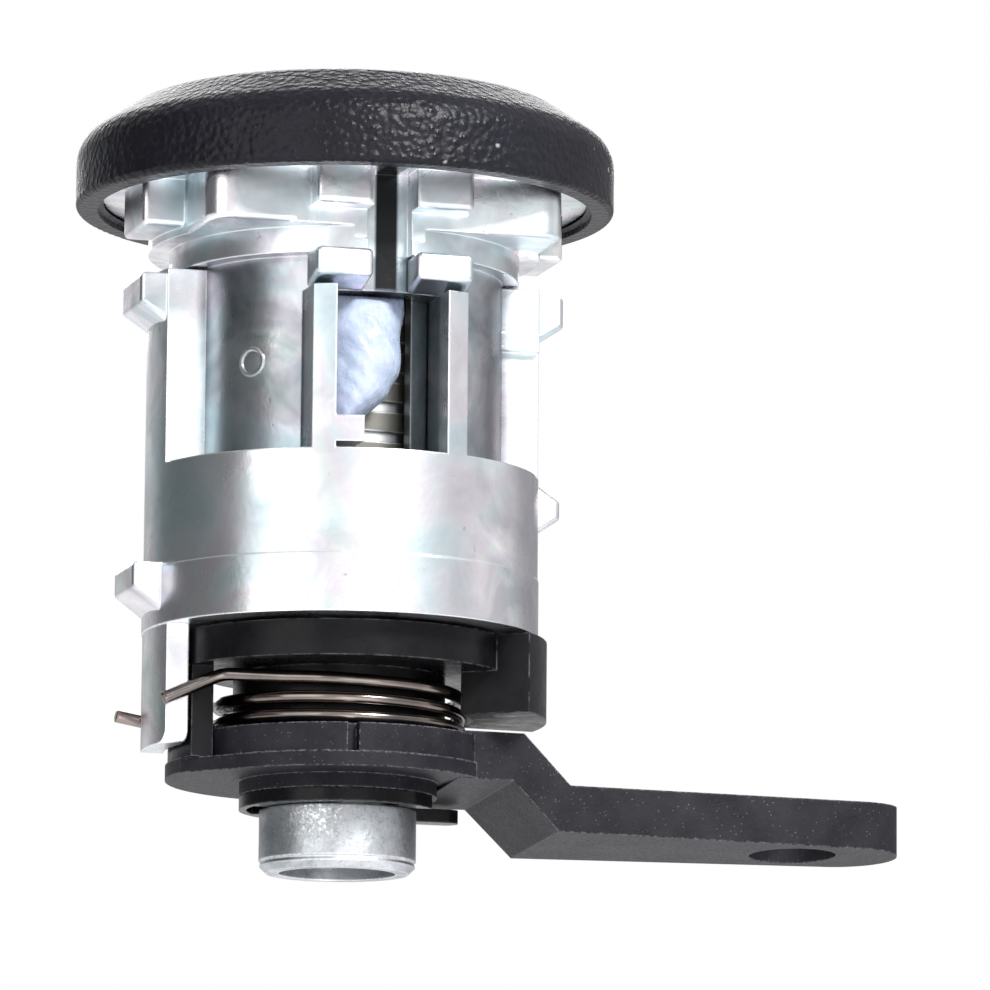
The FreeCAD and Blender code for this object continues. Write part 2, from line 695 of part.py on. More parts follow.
def ring_blocks():
    """Pads, studs and lobes round the notched ring under the flange."""
    deep = -neck_radius + (neck_radius - barrel_radius)
    pad = block("FrontPad", (-pad_half, pad_half), (-pad_flat, ZERO), (ring_bottom, flange_bottom))
    pad = softened("FrontPadCorners", pad, pad_corner, lambda p, edge: p.y < -1 and upright(edge))
    pad = softened("FrontPadSoft", pad, cast_round, lambda p, edge: p.y < -1 and p.z < ring_bottom.number + 0.1)
    lobes = []
    for name, x, y in (
            ("TabSideLobe", (-lobe_reach, ZERO), (-lobe_front, lobe_back)),
            ("ArmSideLobe", (ZERO, lobe_reach), (-lobe_back, lobe_front))):
        lobe = block(name, x, y, (-lobe_depth, flange_bottom))
        lobes.append(softened(
            name + "Soft", lobe, cast_round,
            lambda p, edge: abs(p.x) > 1 and p.z < flange_bottom.number - 0.1))
    studs = []
    for name, low, high in (("Left", -stud_half, -slot_half), ("Right", slot_half, stud_half)):
        stud = block(f"{name}Stud", (low, high), (-stud_front, deep), (-stud_depth, flange_bottom))
        studs.append(softened(
            f"{name}StudSoft", stud, cast_round,
            lambda p, edge: p.y < deep.number - 0.1 and p.z < flange_bottom.number - 0.1))
        guide = extruded(f"{name}Guide", "YZ", [
            (deep, channel_bottom),
            (-stud_front, channel_bottom),
            (-stud_front, channel_bottom - guide_height),
            (deep, channel_bottom - guide_height - guide_slope),
        ], low, high)
        studs.append(softened(
            f"{name}GuideSoft", guide, cast_round,
            lambda p, edge: p.y < deep.number - 0.1))
    return [pad] + lobes + studs


def rib_blocks():
    """Side ribs, window posts and the back rib, flush with the drum."""
    beyond = body_radius + running_gap
    rib_top = channel_bottom - rib_drop
    post_outer_half = window_half + jamb
    sides = block("SideRibs", (-beyond, beyond), (-rib_half, rib_half), (drum_top, rib_top))
    posts = block("WindowPosts", (-post_outer_half, post_outer_half), (-beyond, ZERO), (drum_top, -window_top))
    back = block(
        "BackRib", (-back_rib_half, back_rib_half), (ZERO, beyond),
        (drum_top + back_rib_short, ring_bottom + rib_drop))
    ledge = block(
        "SmallLedge", (ZERO, beyond), (-(rib_half + ledge_proud), ZERO),
        (-(ledge_level + ledge_height), -ledge_level))
    round_limit = rod("RibLimit", body_radius, drum_top, ring_bottom + rib_drop)
    return common("Ribs", fused("RibBlocks", sides, posts, back, ledge), round_limit)


def lug(name, side, points):
    """A lug on a side rib, from an outline of reach and height."""
    outline_points = [(as_size(x) * side, z) for x, z in points]
    piece = extruded(name, "XZ", outline_points, -lug_half, lug_half)
    return softened(name + "Soft", piece, cast_round, lambda p, edge: abs(p.x) > body_radius.number + 0.3)


def lugs():
    inside = body_radius - cap_wall
    upper_top = channel_bottom - rib_drop * 3
    upper = [
        (inside, upper_top),
        (lug_reach, upper_top),
        (lug_reach, upper_top - lug_height),
        (body_radius - rib_drop, upper_top - lug_height - lug_slope),
        (inside, upper_top - lug_height - lug_slope),
    ]
    snap_top = drum_bottom + snap_level
    snap = [
        (inside, snap_top),
        (snap_reach, snap_top),
        (snap_reach, snap_top - snap_height),
        (body_radius - rib_drop, snap_top - snap_height - snap_slope),
        (inside, snap_top - snap_height - snap_slope),
    ]
    barb_top = drum_top - rib_drop
    barb = [
        (inside, barb_top),
        (body_radius - rib_drop, barb_top),
        (barb_reach, barb_top - barb_rise),
        (barb_reach, barb_top - barb_rise - barb_face),
        (body_radius - rib_drop, barb_top - barb_rise * 2 - barb_face),
        (inside, barb_top - barb_rise * 2 - barb_face),
    ]
    return [
        lug("TabSideLug", -1, upper),
        lug("ArmSideLug", 1, upper),
        lug("TabSideSnap", -1, snap),
        lug("ArmSideBarb", 1, barb),
    ]


def spring_tab():
    """The tab below the drum that the spring's legs straddle."""
    inner = tab_inner
    foot = drum_bottom - tab_length
    plate = extruded("TabPlate", "YZ", [
        (-tab_half, drum_bottom + rear_wall),
        (-tab_half, foot),
        (tab_half, foot),
        (tab_half, drum_bottom + rear_wall),
    ], -(body_radius + running_gap), -(inner - running_gap * 2))
    low_edge = foot.number + 0.01
    plate = softened(
        "TabPlateSoft", plate, tab_round,
        lambda p, edge: p.z < low_edge and abs(abs(p.y) - tab_half.number) < 0.01)
    tube = cut(
        "TabTube",
        rod("TabOutside", body_radius, foot - 1, drum_bottom + rear_wall),
        rod("TabInside", inner, foot - 2, drum_bottom + rear_wall + 1))
    return common("SpringTab", plate, tube)


def make_housing():
    beyond = lobe_reach + rear_wall
    solid = fused("HousingSolid", housing_core(), rib_blocks(), spring_tab(), *ring_blocks(), *lugs())
    side = pad_flat + rear_wall * 4
    flat = block("PadFlatCut", (-pad_half, -stud_half), (-side, -pad_flat), (ring_bottom - 1, flange_bottom))
    flat_right = block("PadFlatCutRight", (stud_half, pad_half), (-side, -pad_flat), (ring_bottom - 1, flange_bottom))
    flat_low = block("PadFlatCutLow", (-stud_half, stud_half), (-side, -pad_flat), (ring_bottom - 1, -stud_depth))
    slot = block("FrontSlot", (-slot_half, slot_half), (-beyond, -barrel_radius), (channel_bottom - 1, flange_bottom))
    window = block("FrontWindow", (-window_half, window_half), (-beyond, ZERO), (drum_top, -window_top))
    bore = rod("PlugBoreCut", plug_bore, rear_seat, collar_seat)
    groove = block("BarGroove", (-groove_half, groove_half), (ZERO, groove_reach), (rear_seat, collar_seat))
    lug_angle = turn_limit + 8
    recess = sector(
        "StopRecess", groove_reach, rear_seat, rear_seat + stop_lug_height + running_gap * 2,
        as_size(90) - lug_angle, lug_angle * 2)
    shell = cut("HousingShell", solid, flat, flat_right, flat_low, slot, window, bore, groove, recess)
    foot_low = drum_top + foot_lift
    foot = block(
        "PostFoot", (-window_half - jamb / 2, -window_half + foot_width), (-body_radius, -barrel_radius),
        (foot_low, foot_low + foot_height))
    foot = common("PostFootRound", foot, rod("FootLimit", body_radius, foot_low, foot_low + foot_height))
    return label(fused("Housing", shell, foot), "housing")


# Plug: a cup for the discs, a dog that drives the carrier, and the shaft
def make_plug():
    core = turned("PlugCore", [
        (cup_bore, plug_top),
        (plug_radius, plug_top),
        (plug_radius, plug_bottom),
        (dog_radius, plug_bottom),
        (dog_radius, carrier_bottom),
        (shaft_radius, carrier_bottom),
        (shaft_radius, clip_top + clip_groove / 2),
        (clip_bore - clip_groove / 2, clip_top + clip_groove / 2),
        (clip_bore - clip_groove / 2, clip_bottom - clip_groove / 2),
        (shaft_radius, clip_bottom - clip_groove / 2),
        (shaft_radius, shaft_end + lip_height),
        (shaft_radius - lip_groove, shaft_end + lip_height - lip_groove),
        (shaft_radius - lip_groove / 3, shaft_end + lip_height - lip_groove * 3),
        (shaft_radius - tail_round, shaft_end),
        (tail_bore, shaft_end),
        (tail_bore, shaft_end + tail_bore_depth),
        (ZERO, shaft_end + tail_bore_depth),
        (ZERO, stack_bottom),
        (cup_bore, stack_bottom),
    ])
    stop = block(
        "StopLug", (-stop_lug_half, stop_lug_half), (plug_radius - rear_wall, groove_reach - slip_gap * 2),
        (plug_bottom, plug_bottom + stop_lug_height))
    wide = dog_radius + running_gap
    flats = []
    for name, low, high in (("Left", -wide, -dog_flat), ("Right", dog_flat, wide)):
        flats.append(block(f"Dog{name}Flat", (low, high), (-wide, wide), (carrier_bottom, plug_bottom)))
    slot_low = stack_bottom + running_gap
    slot = block(
        "PlugSlot", (-plug_slot_half, plug_slot_half), (-plug_radius - 1, -cup_bore + 1),
        (slot_low, stack_top - running_gap))
    half = bar_width / 2 + slip_gap / 2
    bar_slot = block(
        "BarSlot", (-half, half), (bar_foot, plug_radius + 1),
        (bar_bottom - slip_gap, bar_top + slip_gap))
    pocket = bar_spring_pocket("PlugSpringPocket", lower_spring_level)
    return label(cut("Plug", fused("PlugSolid", core, stop), *flats, slot, bar_slot, pocket), "plug")


upper_spring_level = stack_top + skirt_ledge / 2
lower_spring_level = stack_bottom - bar_tail / 2


def bar_spring_pocket(name, level):
    """A blind hole under the side bar that holds one of its springs."""
    pocket = doc.addObject("Part::Cylinder", name)
    pocket.Placement = Placement(Vector(), Rotation(Vector(1, 0, 0), -90))
    bind(pocket, "Radius", bar_spring_radius + bar_spring_wire + slip_gap)
    bind(pocket, "Height", bar_spring_length + 1)
    bind(pocket, "Placement.Base.y", bar_foot - bar_spring_length)
    bind(pocket, "Placement.Base.z", level)
    return pocket


def make_plug_face():
    flange_radius_inside = plug_radius
    core = turned("PlugFaceCore", [
        (ZERO, face_top),
        (face_radius, face_top),
        (face_radius, face_flange_top),
        (flange_radius_inside, face_flange_top),
        (flange_radius_inside, plug_top),
        (cup_bore - slip_gap, plug_top),
        (cup_bore - slip_gap, stack_top),
        (skirt_ledge_bore, stack_top),
        (skirt_ledge_bore, stack_top + skirt_ledge),
        (skirt_bore, stack_top + skirt_ledge),
        (skirt_bore, plug_top),
        (face_bore, plug_top),
        (face_bore, face_top - face_plate),
        (ZERO, face_top - face_plate),
    ])
    upper = [
        (key_half_width, -key_side),
        (key_half_width, key_side),
        (key_corner_x, key_corner_y),
        (key_notch_half, key_notch_foot),
        (ZERO, key_notch_tip),
        (-key_notch_half, key_notch_foot),
        (-key_corner_x, key_corner_y),
        (-key_half_width, key_side),
        (-key_half_width, -key_side),
        (-key_corner_x, -key_corner_y),
        (-key_notch_half, -key_notch_foot),
        (ZERO, -key_notch_tip),
        (key_notch_half, -key_notch_foot),
        (key_corner_x, -key_corner_y),
    ]
    keyway = extruded("Keyway", "XY", upper, face_top - face_plate * 2, face_top + 1)
    pin_hole = cross_rod("PinHole", shutter_pin_radius + slip_gap / 2, face_radius + 1)
    half = bar_width / 2 + slip_gap / 2
    bar_slot = block(
        "SkirtBarSlot", (-half, half), (bar_foot, plug_radius + 1), (stack_top - 1, bar_top + slip_gap))
    pocket = bar_spring_pocket("SkirtSpringPocket", upper_spring_level)
    return label(cut("PlugFace", core, keyway, pin_hole, bar_slot, pocket), "plug_face")


def cross_rod(name, radius, half_length):
    """A rod along X through the shutter's hinge."""
    piece = doc.addObject("Part::Cylinder", name)
    piece.Placement = Placement(Vector(), Rotation(Vector(0, 1, 0), 90))
    bind(piece, "Radius", radius)
    bind(piece, "Height", as_size(half_length) * 2)
    bind(piece, "Placement.Base.x", -as_size(half_length))
    bind(piece, "Placement.Base.y", shutter_axis_y)
    bind(piece, "Placement.Base.z", shutter_axis_z)
    return piece


# Shutter: a flap on a cross pin that closes the keyway, pushed shut by a small spring
def make_shutter():
    low = shutter_axis_z
    high = shutter_axis_z + shutter_thickness
    plate_end = shutter_axis_y - shutter_relief
    plate = common(
        "ShutterPlate",
        rod("ShutterRound", shutter_radius, low, high),
        block("ShutterSides", (-shutter_half, shutter_half), (-shutter_radius, plate_end), (low, high)))
    tongue = block("ShutterTongue", (-knuckle_half, knuckle_half), (ZERO, shutter_axis_y), (low, high))
    knuckle = cross_rod("ShutterKnuckle", shutter_knuckle, knuckle_half)
    hole = cross_rod("ShutterHole", shutter_pin_radius + slip_gap / 2, knuckle_half + 1)
    return label(cut("Shutter", fused("ShutterSolid", plate, tongue, knuckle), hole), "shutter")


def make_shutter_pin():
    far_side = shutter_axis_y + shutter_pin_radius
    half = root(face_radius * face_radius - far_side * far_side) - running_gap / 2
    return label(cross_rod("ShutterPin", shutter_pin_radius, half), "shutter_pin")


def make_shutter_spring():
    wire = flap_wire.number
    mean = flap_coil.number
    coil = coil_stations(mean, 0, 360 * FLAP_TURNS, 0, flap_coil_length.number)
    foot = Vector(mean, -mean * 3, 0)
    stations = [(foot, Vector(0, 1, 0)), (Vector(mean, -wire, 0), Vector(0, 1, 0))] + coil[1:]
    start = knuckle_half.number + slip_gap.number + wire
    turn = Rotation(Vector(0, 1, 0), 90)
    place = Placement(Vector(start, shutter_axis_y.number, shutter_axis_z.number), turn)
    return label(wire_piece("ShutterSpring", swept_wire(stations, wire), place), "shutter_spring")


# Discs: six coded tumblers with spacers between them, each gate in line with the side bar
def make_disc(name, node, radius, thickness, top, code_angle):
    body = doc.addObject("PartDesign::Body", name)
    face = body_sketch(body, name + "Rim", "XY_Plane")
    face.addGeometry(Part.Circle(Vector(), Vector(0, 0, 1), radius.number), False)
    face.addConstraint(Sketcher.Constraint("Coincident", 0, 3, -1, 1))
    index = face.addConstraint(Sketcher.Constraint("Radius", 0, radius.number))
    face.renameConstraint(index, "rim")
    bind(face, "Constraints.rim", radius)
    pad = body.newObject("PartDesign::Pad", name + "Pad")
    pad.Profile = face
    bind(pad, "Length", thickness)

    opening = body_sketch(body, name + "Opening", "XY_Plane")
    opening.AttachmentOffset = Placement(Vector(), Rotation(Vector(0, 0, 1), code_angle))
    flat_half = math.acos(disc_chord.number / disc_hole.number)
    circle = Part.Circle(Vector(), Vector(0, 0, 1), disc_hole.number)
    opening.addGeometry(Part.ArcOfCircle(circle, flat_half, 2 * math.pi - flat_half), False)
    reach = disc_hole.number * math.sin(flat_half)
    opening.addGeometry(Part.LineSegment(
        Vector(disc_chord.number, -reach, 0), Vector(disc_chord.number, reach, 0)), False)
    opening.addConstraint(Sketcher.Constraint("Coincident", 0, 3, -1, 1))
    opening.addConstraint(Sketcher.Constraint("Coincident", 0, 2, 1, 1))
    opening.addConstraint(Sketcher.Constraint("Coincident", 1, 2, 0, 1))
    opening.addConstraint(Sketcher.Constraint("Vertical", 1))
    for kind, title, value in (("Radius", "hole", disc_hole), ("DistanceX", "chord", disc_chord)):
        if kind == "Radius":
            index = opening.addConstraint(Sketcher.Constraint(kind, 0, value.number))
        else:
            index = opening.addConstraint(Sketcher.Constraint(kind, -1, 1, 1, 1, value.number))
        opening.renameConstraint(index, title)
        bind(opening, f"Constraints.{title}", value)

    half = bar_width / 2 + slip_gap
    gate = body_sketch(body, name + "Gate", "XY_Plane")
    draw_outline(gate, [
        (-half, bar_foot - gate_depth),
        (half, bar_foot - gate_depth),
        (half, radius + 1),
        (-half, radius + 1),
    ])
    for profile in (opening, gate):
        hole = body.newObject("PartDesign::Pocket", profile.Name + "Cut")
        hole.Profile = profile
        hole.Type = "ThroughAll"
        hole.Reversed = True
    bind(body, "Placement.Base.z", top - thickness)
    return label(body, node)


CODE_ANGLES = [200, 225, 180, 245, 210, 190]


def make_discs():
    for i in range(DISC_COUNT):
        top = stack_top - disc_pitch * i
        make_disc(f"Tumbler{i + 1}", f"tumbler_disc_{i + 1}", disc_radius, disc_thickness, top, CODE_ANGLES[i])
        if i < DISC_COUNT - 1:
            make_disc(
                f"Spacer{i + 1}", f"spacer_disc_{i + 1}", spacer_radius, spacer_thickness,
                top - disc_thickness, CODE_ANGLES[0])


# Side bar: drops into the discs' gates and frees the plug, lifted again by two springs
def make_sidebar():
    half = bar_width / 2
    crest = plug_radius - slip_gap
    return label(extruded("SideBar", "XY", [
        (-half, bar_foot),
        (half, bar_foot),
        (half, crest - half),
        (half / 3, crest),
        (-half / 3, crest),
        (-half, crest - half),
    ], bar_bottom, bar_top), "sidebar")


def make_bar_springs():
    wire = bar_spring_wire.number
    length = bar_spring_length.number - 3 * wire
    shape = swept_wire(coil_stations(bar_spring_radius.number, 0, 360 * BAR_SPRING_TURNS, 0, length), wire)
    turn = Rotation(Vector(1, 0, 0), -90)
    for number, level in enumerate((upper_spring_level, lower_spring_level), 1):
        low = bar_foot.number - bar_spring_length.number + 1.5 * wire
        place = Placement(Vector(0, low, level.number), turn)
        label(wire_piece(f"BarSpring{number}", shape.copy(), place), f"sidebar_spring_{number}")


# Spring carrier: a plate with a hub, a stop block and the post that pushes the legs
def make_spring_carrier():
    plate = rod("CarrierPlate", carrier_radius, carrier_bottom, carrier_top)
    back = cut(
        "CarrierBack",
        sector(
            "CarrierBackOut", carrier_radius + 1, carrier_bottom - 1, carrier_top + 1,
            carrier_open_start, carrier_open_sweep),
        rod("CarrierBackIn", carrier_cut, carrier_bottom - 2, carrier_top + 2))
    hub = rod("CarrierHub", carrier_hub, lever_top, carrier_top)
    stop = cut(
        "CarrierBlock",
        sector("BlockOut", block_outer, carrier_bottom - block_height, carrier_top, block_start, block_sweep),
        rod("BlockIn", block_inner, carrier_bottom - block_height - 1, carrier_bottom))
    post = common(
        "CarrierPost",
        block("PostBlock", (-post_outer, -post_inner + 1), (-post_half, post_half), (plate_top, carrier_top)),
        cut(
            "PostTube",
            rod("PostOut", post_outer, plate_top, carrier_top),
            rod("PostIn", post_inner, plate_top - 1, carrier_bottom)))
    tenons = common(
        "CarrierTenons",
        block("TenonBlock", (-tenon_half, tenon_half), (-carrier_hub, carrier_hub), (lever_top - tenon_length, lever_top)),
        cut(
            "TenonTube",
            rod("TenonOut", carrier_hub, lever_top - tenon_length, lever_top),
            rod("TenonIn", tenon_inner, lever_top - tenon_length - 1, lever_top + 1)))
    solid = fused("CarrierSolid", cut("CarrierOpenPlate", plate, back), hub, stop, post, tenons)
    dog_hole = common(
        "DogHole",
        rod("DogRound", dog_radius + slip_gap, carrier_bottom, carrier_top + 1),
        block(
            "DogFlats", (-(dog_flat + slip_gap), dog_flat + slip_gap),
            (-(dog_radius + 1), dog_radius + 1), (carrier_bottom, carrier_top + 1)))
    shaft_hole = rod("CarrierShaftHole", shaft_radius + slip_gap, lever_top - tenon_length - 1, carrier_top + 1)
    return label(cut("SpringCarrier", solid, dog_hole, shaft_hole), "spring_carrier")


# Return spring: a coil whose two legs straddle the housing's tab and the carrier's post
def make_return_spring():
    wire = spring_wire.number
    mean = spring_radius.number
    side = leg_side.number
    low = lever_top.number + wire + spring_rest.number
    high = carrier_bottom.number - wire - spring_rest.number
    bearing = math.degrees(math.asin(side / mean)) + BEND_TURN
    sweep = 360 * (spring_turns.number + 1) - bearing * 2
    coil = coil_stations(mean, 180 - bearing, -sweep, low, high - low)
    knee = mean * math.cos(math.radians(bearing)) + spring_bend.number
    rear = Vector(-knee, side, low + spring_rest.number)
    rear_end = Vector(-rear_leg_reach.number, side, low + rear_leg_rise.number)
    front = Vector(-knee, -side, high - wire)
    front_end = Vector(-front_leg_reach.number, -side, high - front_leg_drop.number)
    rear_run = (rear - rear_end).normalize()
    front_run = (front_end - front).normalize()
    stations = [(rear_end, rear_run), (rear, rear_run)] + coil + [(front, front_run), (front_end, front_run)]
    return label(wire_piece("ReturnSpring", swept_wire(stations, wire), Placement()), "return_spring")


# Lever: a plate on the shaft with a collar, a cranked arm and a pocketed rim at the back
def make_lever():
    plate = common(
        "LeverPlate",
        rod("LeverPlateDisc", lever_plate_radius, plate_bottom, plate_top),
        block(
            "LeverPlateHalf", (-lever_plate_radius, lever_plate_radius),
            (-plate_cheek, lever_plate_radius), (plate_bottom, plate_top)))
    front = rod("LeverPlateFront", lever_collar + plate_lip, plate_bottom, plate_top)
    corner = root(lever_plate_radius * lever_plate_radius - plate_cheek * plate_cheek)
    cheek_depth = root(lever_collar * lever_collar - cheek_run * cheek_run)
    cheek = extruded("LeverCheek", "XY", [
        (-corner, -plate_cheek),
        (-cheek_run, -cheek_depth),
        (ZERO, -cheek_depth),
        (ZERO, -plate_cheek),
    ], plate_bottom, plate_top)
    collar = rod("LeverCollar", lever_collar, plate_top, lever_top)
    boss = rod("LeverBoss", lever_boss, clip_top, plate_bottom)
    rim = cut(
        "LeverRim",
        sector("RimOut", lever_rim_outer, plate_top, lever_top + arm_root_rise, rim_start, rim_sweep),
        rod("RimIn", lever_collar - 1, plate_top - 1, lever_top + 1))
    root_top = lever_top + arm_root_rise
    arm_top = root_top - arm_crank
    arm_bottom = arm_top - arm_thickness
    low = arm_bottom - arm_slant - 1
    under_start = arm_root + arm_crank - (plate_bottom - arm_bottom) - 1
    side_view = extruded("ArmSide", "XZ", [
        (ZERO, root_top),
        (arm_root, root_top),
        (arm_root + arm_crank, arm_top),
        (arm_reach, arm_top),
        (arm_reach, low),
        (ZERO, low),
    ], -arm_root_half, arm_root_half)
    end = arm_reach - arm_tip_half
    plan = fused(
        "ArmPlan",
        extruded("ArmTaper", "XY", [
            (ZERO, -arm_root_half),
            (end, -arm_tip_half),
            (end, arm_tip_half),
            (ZERO, arm_root_half),
        ], low - 1, root_top + 1),
        rod("ArmEnd", arm_tip_half, low - 1, root_top + 1, end))
    under = slanted("ArmUnder", [
        (ZERO - 1, plate_bottom),
        (under_start, plate_bottom),
        (under_start + (plate_bottom - arm_bottom), arm_bottom),
        (arm_reach + 1, arm_bottom),
        (arm_reach + 1, low - 2),
        (ZERO - 1, low - 2),
    ], -arm_root_half, arm_root_half, arm_slant)
    boss_side = block(
        "ArmBossSide", (ZERO - 1, lever_boss + slip_gap), (-arm_root_half - 1, arm_root_half + 1),
        (low - 1, plate_bottom))
    arm = cut("LeverArm", common("ArmBlank", side_view, plan), under, boss_side)
    eye = rod("ArmEye", arm_eye_radius, arm_bottom - 1, arm_top + 1, arm_eye)
    shaft_hole = rod("LeverShaftHole", lever_bore, clip_top - 1, root_top + 1)
    hub_clear = rod("LeverHubClear", carrier_hub + slip_gap, lever_top, root_top + 1)
    coil_clear = rod("LeverCoilClear", spring_radius + spring_wire * 2, lever_top, root_top + 1)
    socket = common(
        "TenonSockets",
        block(
            "SocketBlock", (-(tenon_half + slip_gap), tenon_half + slip_gap),
            (-(carrier_hub + slip_gap), carrier_hub + slip_gap),
            (lever_top - tenon_length - slip_gap, root_top + 1)),
        cut(
            "SocketTube",
            rod("SocketOut", carrier_hub + slip_gap, lever_top - tenon_length - slip_gap, root_top + 1),
            rod("SocketIn", tenon_inner - slip_gap, lever_top - tenon_length - 1, root_top + 2)))
    notch = block(
        "CollarNotch", (-notch_offset - notch_half, -notch_offset + notch_half),
        (-lever_plate_radius, -lever_collar + 1), (plate_top, root_top + 1))
    pocket = cut(
        "RimPocket",
        sector(
            "PocketOut", lever_rim_outer - pocket_wall, root_top - pocket_depth, root_top + 1,
            rim_start + rim_end_wall * 2, rim_sweep - rim_end_wall * 3),
        rod("PocketIn", lever_collar - pocket_wall / 2, root_top - pocket_depth - 1, root_top + 2))
    solid = fused("LeverSolid", plate, front, cheek, collar, boss, rim, arm)
    return label(
        cut("Lever", solid, eye, shaft_hole, hub_clear, coil_clear, socket, notch, pocket), "lever")


# Retaining clip: an open spring clip in the shaft's groove, under the lever's boss
def make_retaining_clip():
    ring = rod("ClipRing", clip_radius, clip_bottom, clip_top)
    bore = rod("ClipBore", clip_bore, clip_bottom - 1, clip_top + 1)
    mouth = block("ClipMouth", (ZERO, clip_radius + 1), (-clip_mouth, clip_mouth), (clip_bottom - 1, clip_top + 1))
    reliefs = []
    for number, start in enumerate((60, 145, 255), 1):
        reliefs.append(sector(f"ClipRelief{number}", clip_relief, clip_bottom - 1, clip_top + 1, start, 45))
    body = cut("ClipBody", ring, bore, mouth, *reliefs)
    round_end = prong_width / 2
    middle = clip_mouth + round_end
    prong = block(
        "ClipProng", (clip_bore, prong_reach - round_end), (clip_mouth, clip_mouth + prong_width),
        (clip_bottom, clip_top))
    tip = rod("ClipProngEnd", round_end, clip_bottom, clip_top, prong_reach - round_end, middle)
    return label(fused("RetainingClip", body, prong, tip), "retaining_clip")


def check_model():
    """Stop if any object failed, or if a sub-part's shape is empty or broken."""
    for item in doc.Objects:
        if "Invalid" in item.State or "Error" in item.State:
            raise ValueError(f"{item.Name} failed: {item.State}")
    for piece in nodes:
        if piece.Shape.isNull() or not piece.Shape.isValid():
            raise ValueError(f"{piece.Label} has no valid shape")


def write_parts():
    os.makedirs("parts", exist_ok=True)
    for piece in nodes:
        piece.Shape.exportStep(f"parts/{piece.Label}.step")


make_trim_cap()
make_front_collar()
make_housing()
make_plug()
make_plug_face()
make_shutter()
make_shutter_pin()
make_shutter_spring()
make_discs()
make_sidebar()
make_bar_springs()
make_spring_carrier()
make_return_spring()
make_lever()
make_retaining_clip()
doc.recompute()
check_model()
write_parts()
for piece in nodes:
    print(f"{piece.Label:18s} solids {len(piece.Shape.Solids)}  volume {piece.Shape.Volume:9.2f}")
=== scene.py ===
import math

import bmesh
import bpy
import numpy as np
from bpy.props import FloatProperty, FloatVectorProperty, IntProperty, PointerProperty
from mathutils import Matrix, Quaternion, Vector


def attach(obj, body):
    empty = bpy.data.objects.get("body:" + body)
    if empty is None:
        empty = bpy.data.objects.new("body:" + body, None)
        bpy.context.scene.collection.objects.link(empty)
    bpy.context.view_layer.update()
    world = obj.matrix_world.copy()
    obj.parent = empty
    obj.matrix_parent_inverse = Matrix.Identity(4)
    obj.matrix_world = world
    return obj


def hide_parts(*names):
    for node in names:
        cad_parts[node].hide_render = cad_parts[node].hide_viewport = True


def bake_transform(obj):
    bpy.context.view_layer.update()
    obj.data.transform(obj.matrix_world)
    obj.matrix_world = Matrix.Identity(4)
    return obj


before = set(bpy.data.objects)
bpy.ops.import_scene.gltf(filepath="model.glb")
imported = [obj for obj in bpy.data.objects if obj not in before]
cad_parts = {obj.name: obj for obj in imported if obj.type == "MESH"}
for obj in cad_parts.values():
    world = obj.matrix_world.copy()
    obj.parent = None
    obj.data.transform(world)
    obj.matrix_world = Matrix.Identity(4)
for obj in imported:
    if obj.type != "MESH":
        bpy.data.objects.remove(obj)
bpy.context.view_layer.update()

bl_info = {
    "name": "Door Lock Cylinder Looks",
    "version": (1, 0, 0),
    "blender": (4, 5, 0),
    "location": "3D View > Sidebar > Door Lock",
    "description": "Dresses the packed door lock cylinder with its finishes, spring, grease and studio",
    "category": "Object",
}

MM = 0.001

# Sockets of a colour Mix node, whose names repeat for each kind of data
MIX_FIRST = 6
MIX_SECOND = 7
MIX_COLOUR = 2

# Colours that the finishes mix into their base; some are painted highlight and painted shade, as marked
# Near-white painted highlight along the rounded edges of cast metal
EDGE_HIGHLIGHT = (0.97, 0.98, 0.99, 1.0)
PIT = (0.16, 0.17, 0.19, 1.0)
FLECK = (0.10, 0.11, 0.12, 1.0)
DULL_FILM = (0.16, 0.18, 0.205, 1.0)
# Near-black painted shade for the deep slot between the front studs
SLOT_SHADE = (0.02, 0.021, 0.022, 1.0)
# Dark painted shade for the plug where it lies inside the housing
PLUG_INSIDE_SHADE = (0.10, 0.12, 0.12, 1.0)
WHITE = (1.0, 1.0, 1.0, 1.0)
FIBRE = (0.26, 0.25, 0.28, 1.0)
# Lighter plastic edges: partly worn chips, partly painted highlight
EDGE_WEAR_AND_HIGHLIGHT = (0.30, 0.29, 0.33, 1.0)
WARM_WIRE = (0.24, 0.20, 0.18, 1.0)
DEEP_GREASE = (0.36, 0.42, 0.56, 1.0)
CAP_PATCH = (0.009, 0.009, 0.014, 1.0)
DUST = (0.5, 0.5, 0.52, 1.0)

# Radii, in metres, over which hard edges look rounded
CAST_EDGE = 0.00022
PLASTIC_EDGE = 0.00020

# How strongly the two kinds of plastic reflect
PLASTIC_SHEEN = 0.13
CAP_SHEEN = 0.18

# Cut ends of a wire, as shares of its radius: their depth, the rim ring's place in it, and both rings' sizes
END_DEPTH = 0.18
END_RIM = 0.6
END_OUTER = 0.93
END_INNER = 0.72

# Points across and down the grease, and round and across the casting mark
GREASE_COLUMNS = 44
GREASE_ROWS = 72
MARK_AROUND = 72
MARK_ACROSS = 12

# Free edge of the grease: how far down it is, and its X in metres
GREASE_EDGE_AT = [0.0, 0.35, 0.55, 0.70, 0.82, 0.92, 1.0]
GREASE_EDGE_X = [0.0021, 0.0019, 0.0017, 0.0009, -0.0008, -0.0022, -0.0038]

# Waves on the grease: turns for each metre across and up, in radians, then the start and the share of each
GREASE_WAVES = [
    (2100, 900, 0.0, 1.0),
    (-700, 2600, 1.3, 1.0),
    (4300, 3900, 0.0, 0.7),
]


def colour(name, description, value):
    """A colour property of three channels."""
    return FloatVectorProperty(
        name=name, description=description, default=value, size=3, min=0.0, max=1.0, subtype="COLOR")


def length(name, description, millimetres):
    """A length property, written in millimetres and kept in metres."""
    return FloatProperty(
        name=name, description=description, default=millimetres * MM, unit="LENGTH", precision=5)


def angle(name, description, degrees):
    """An angle property, written in degrees and kept in radians."""
    return FloatProperty(
        name=name, description=description, default=math.radians(degrees), subtype="ANGLE")


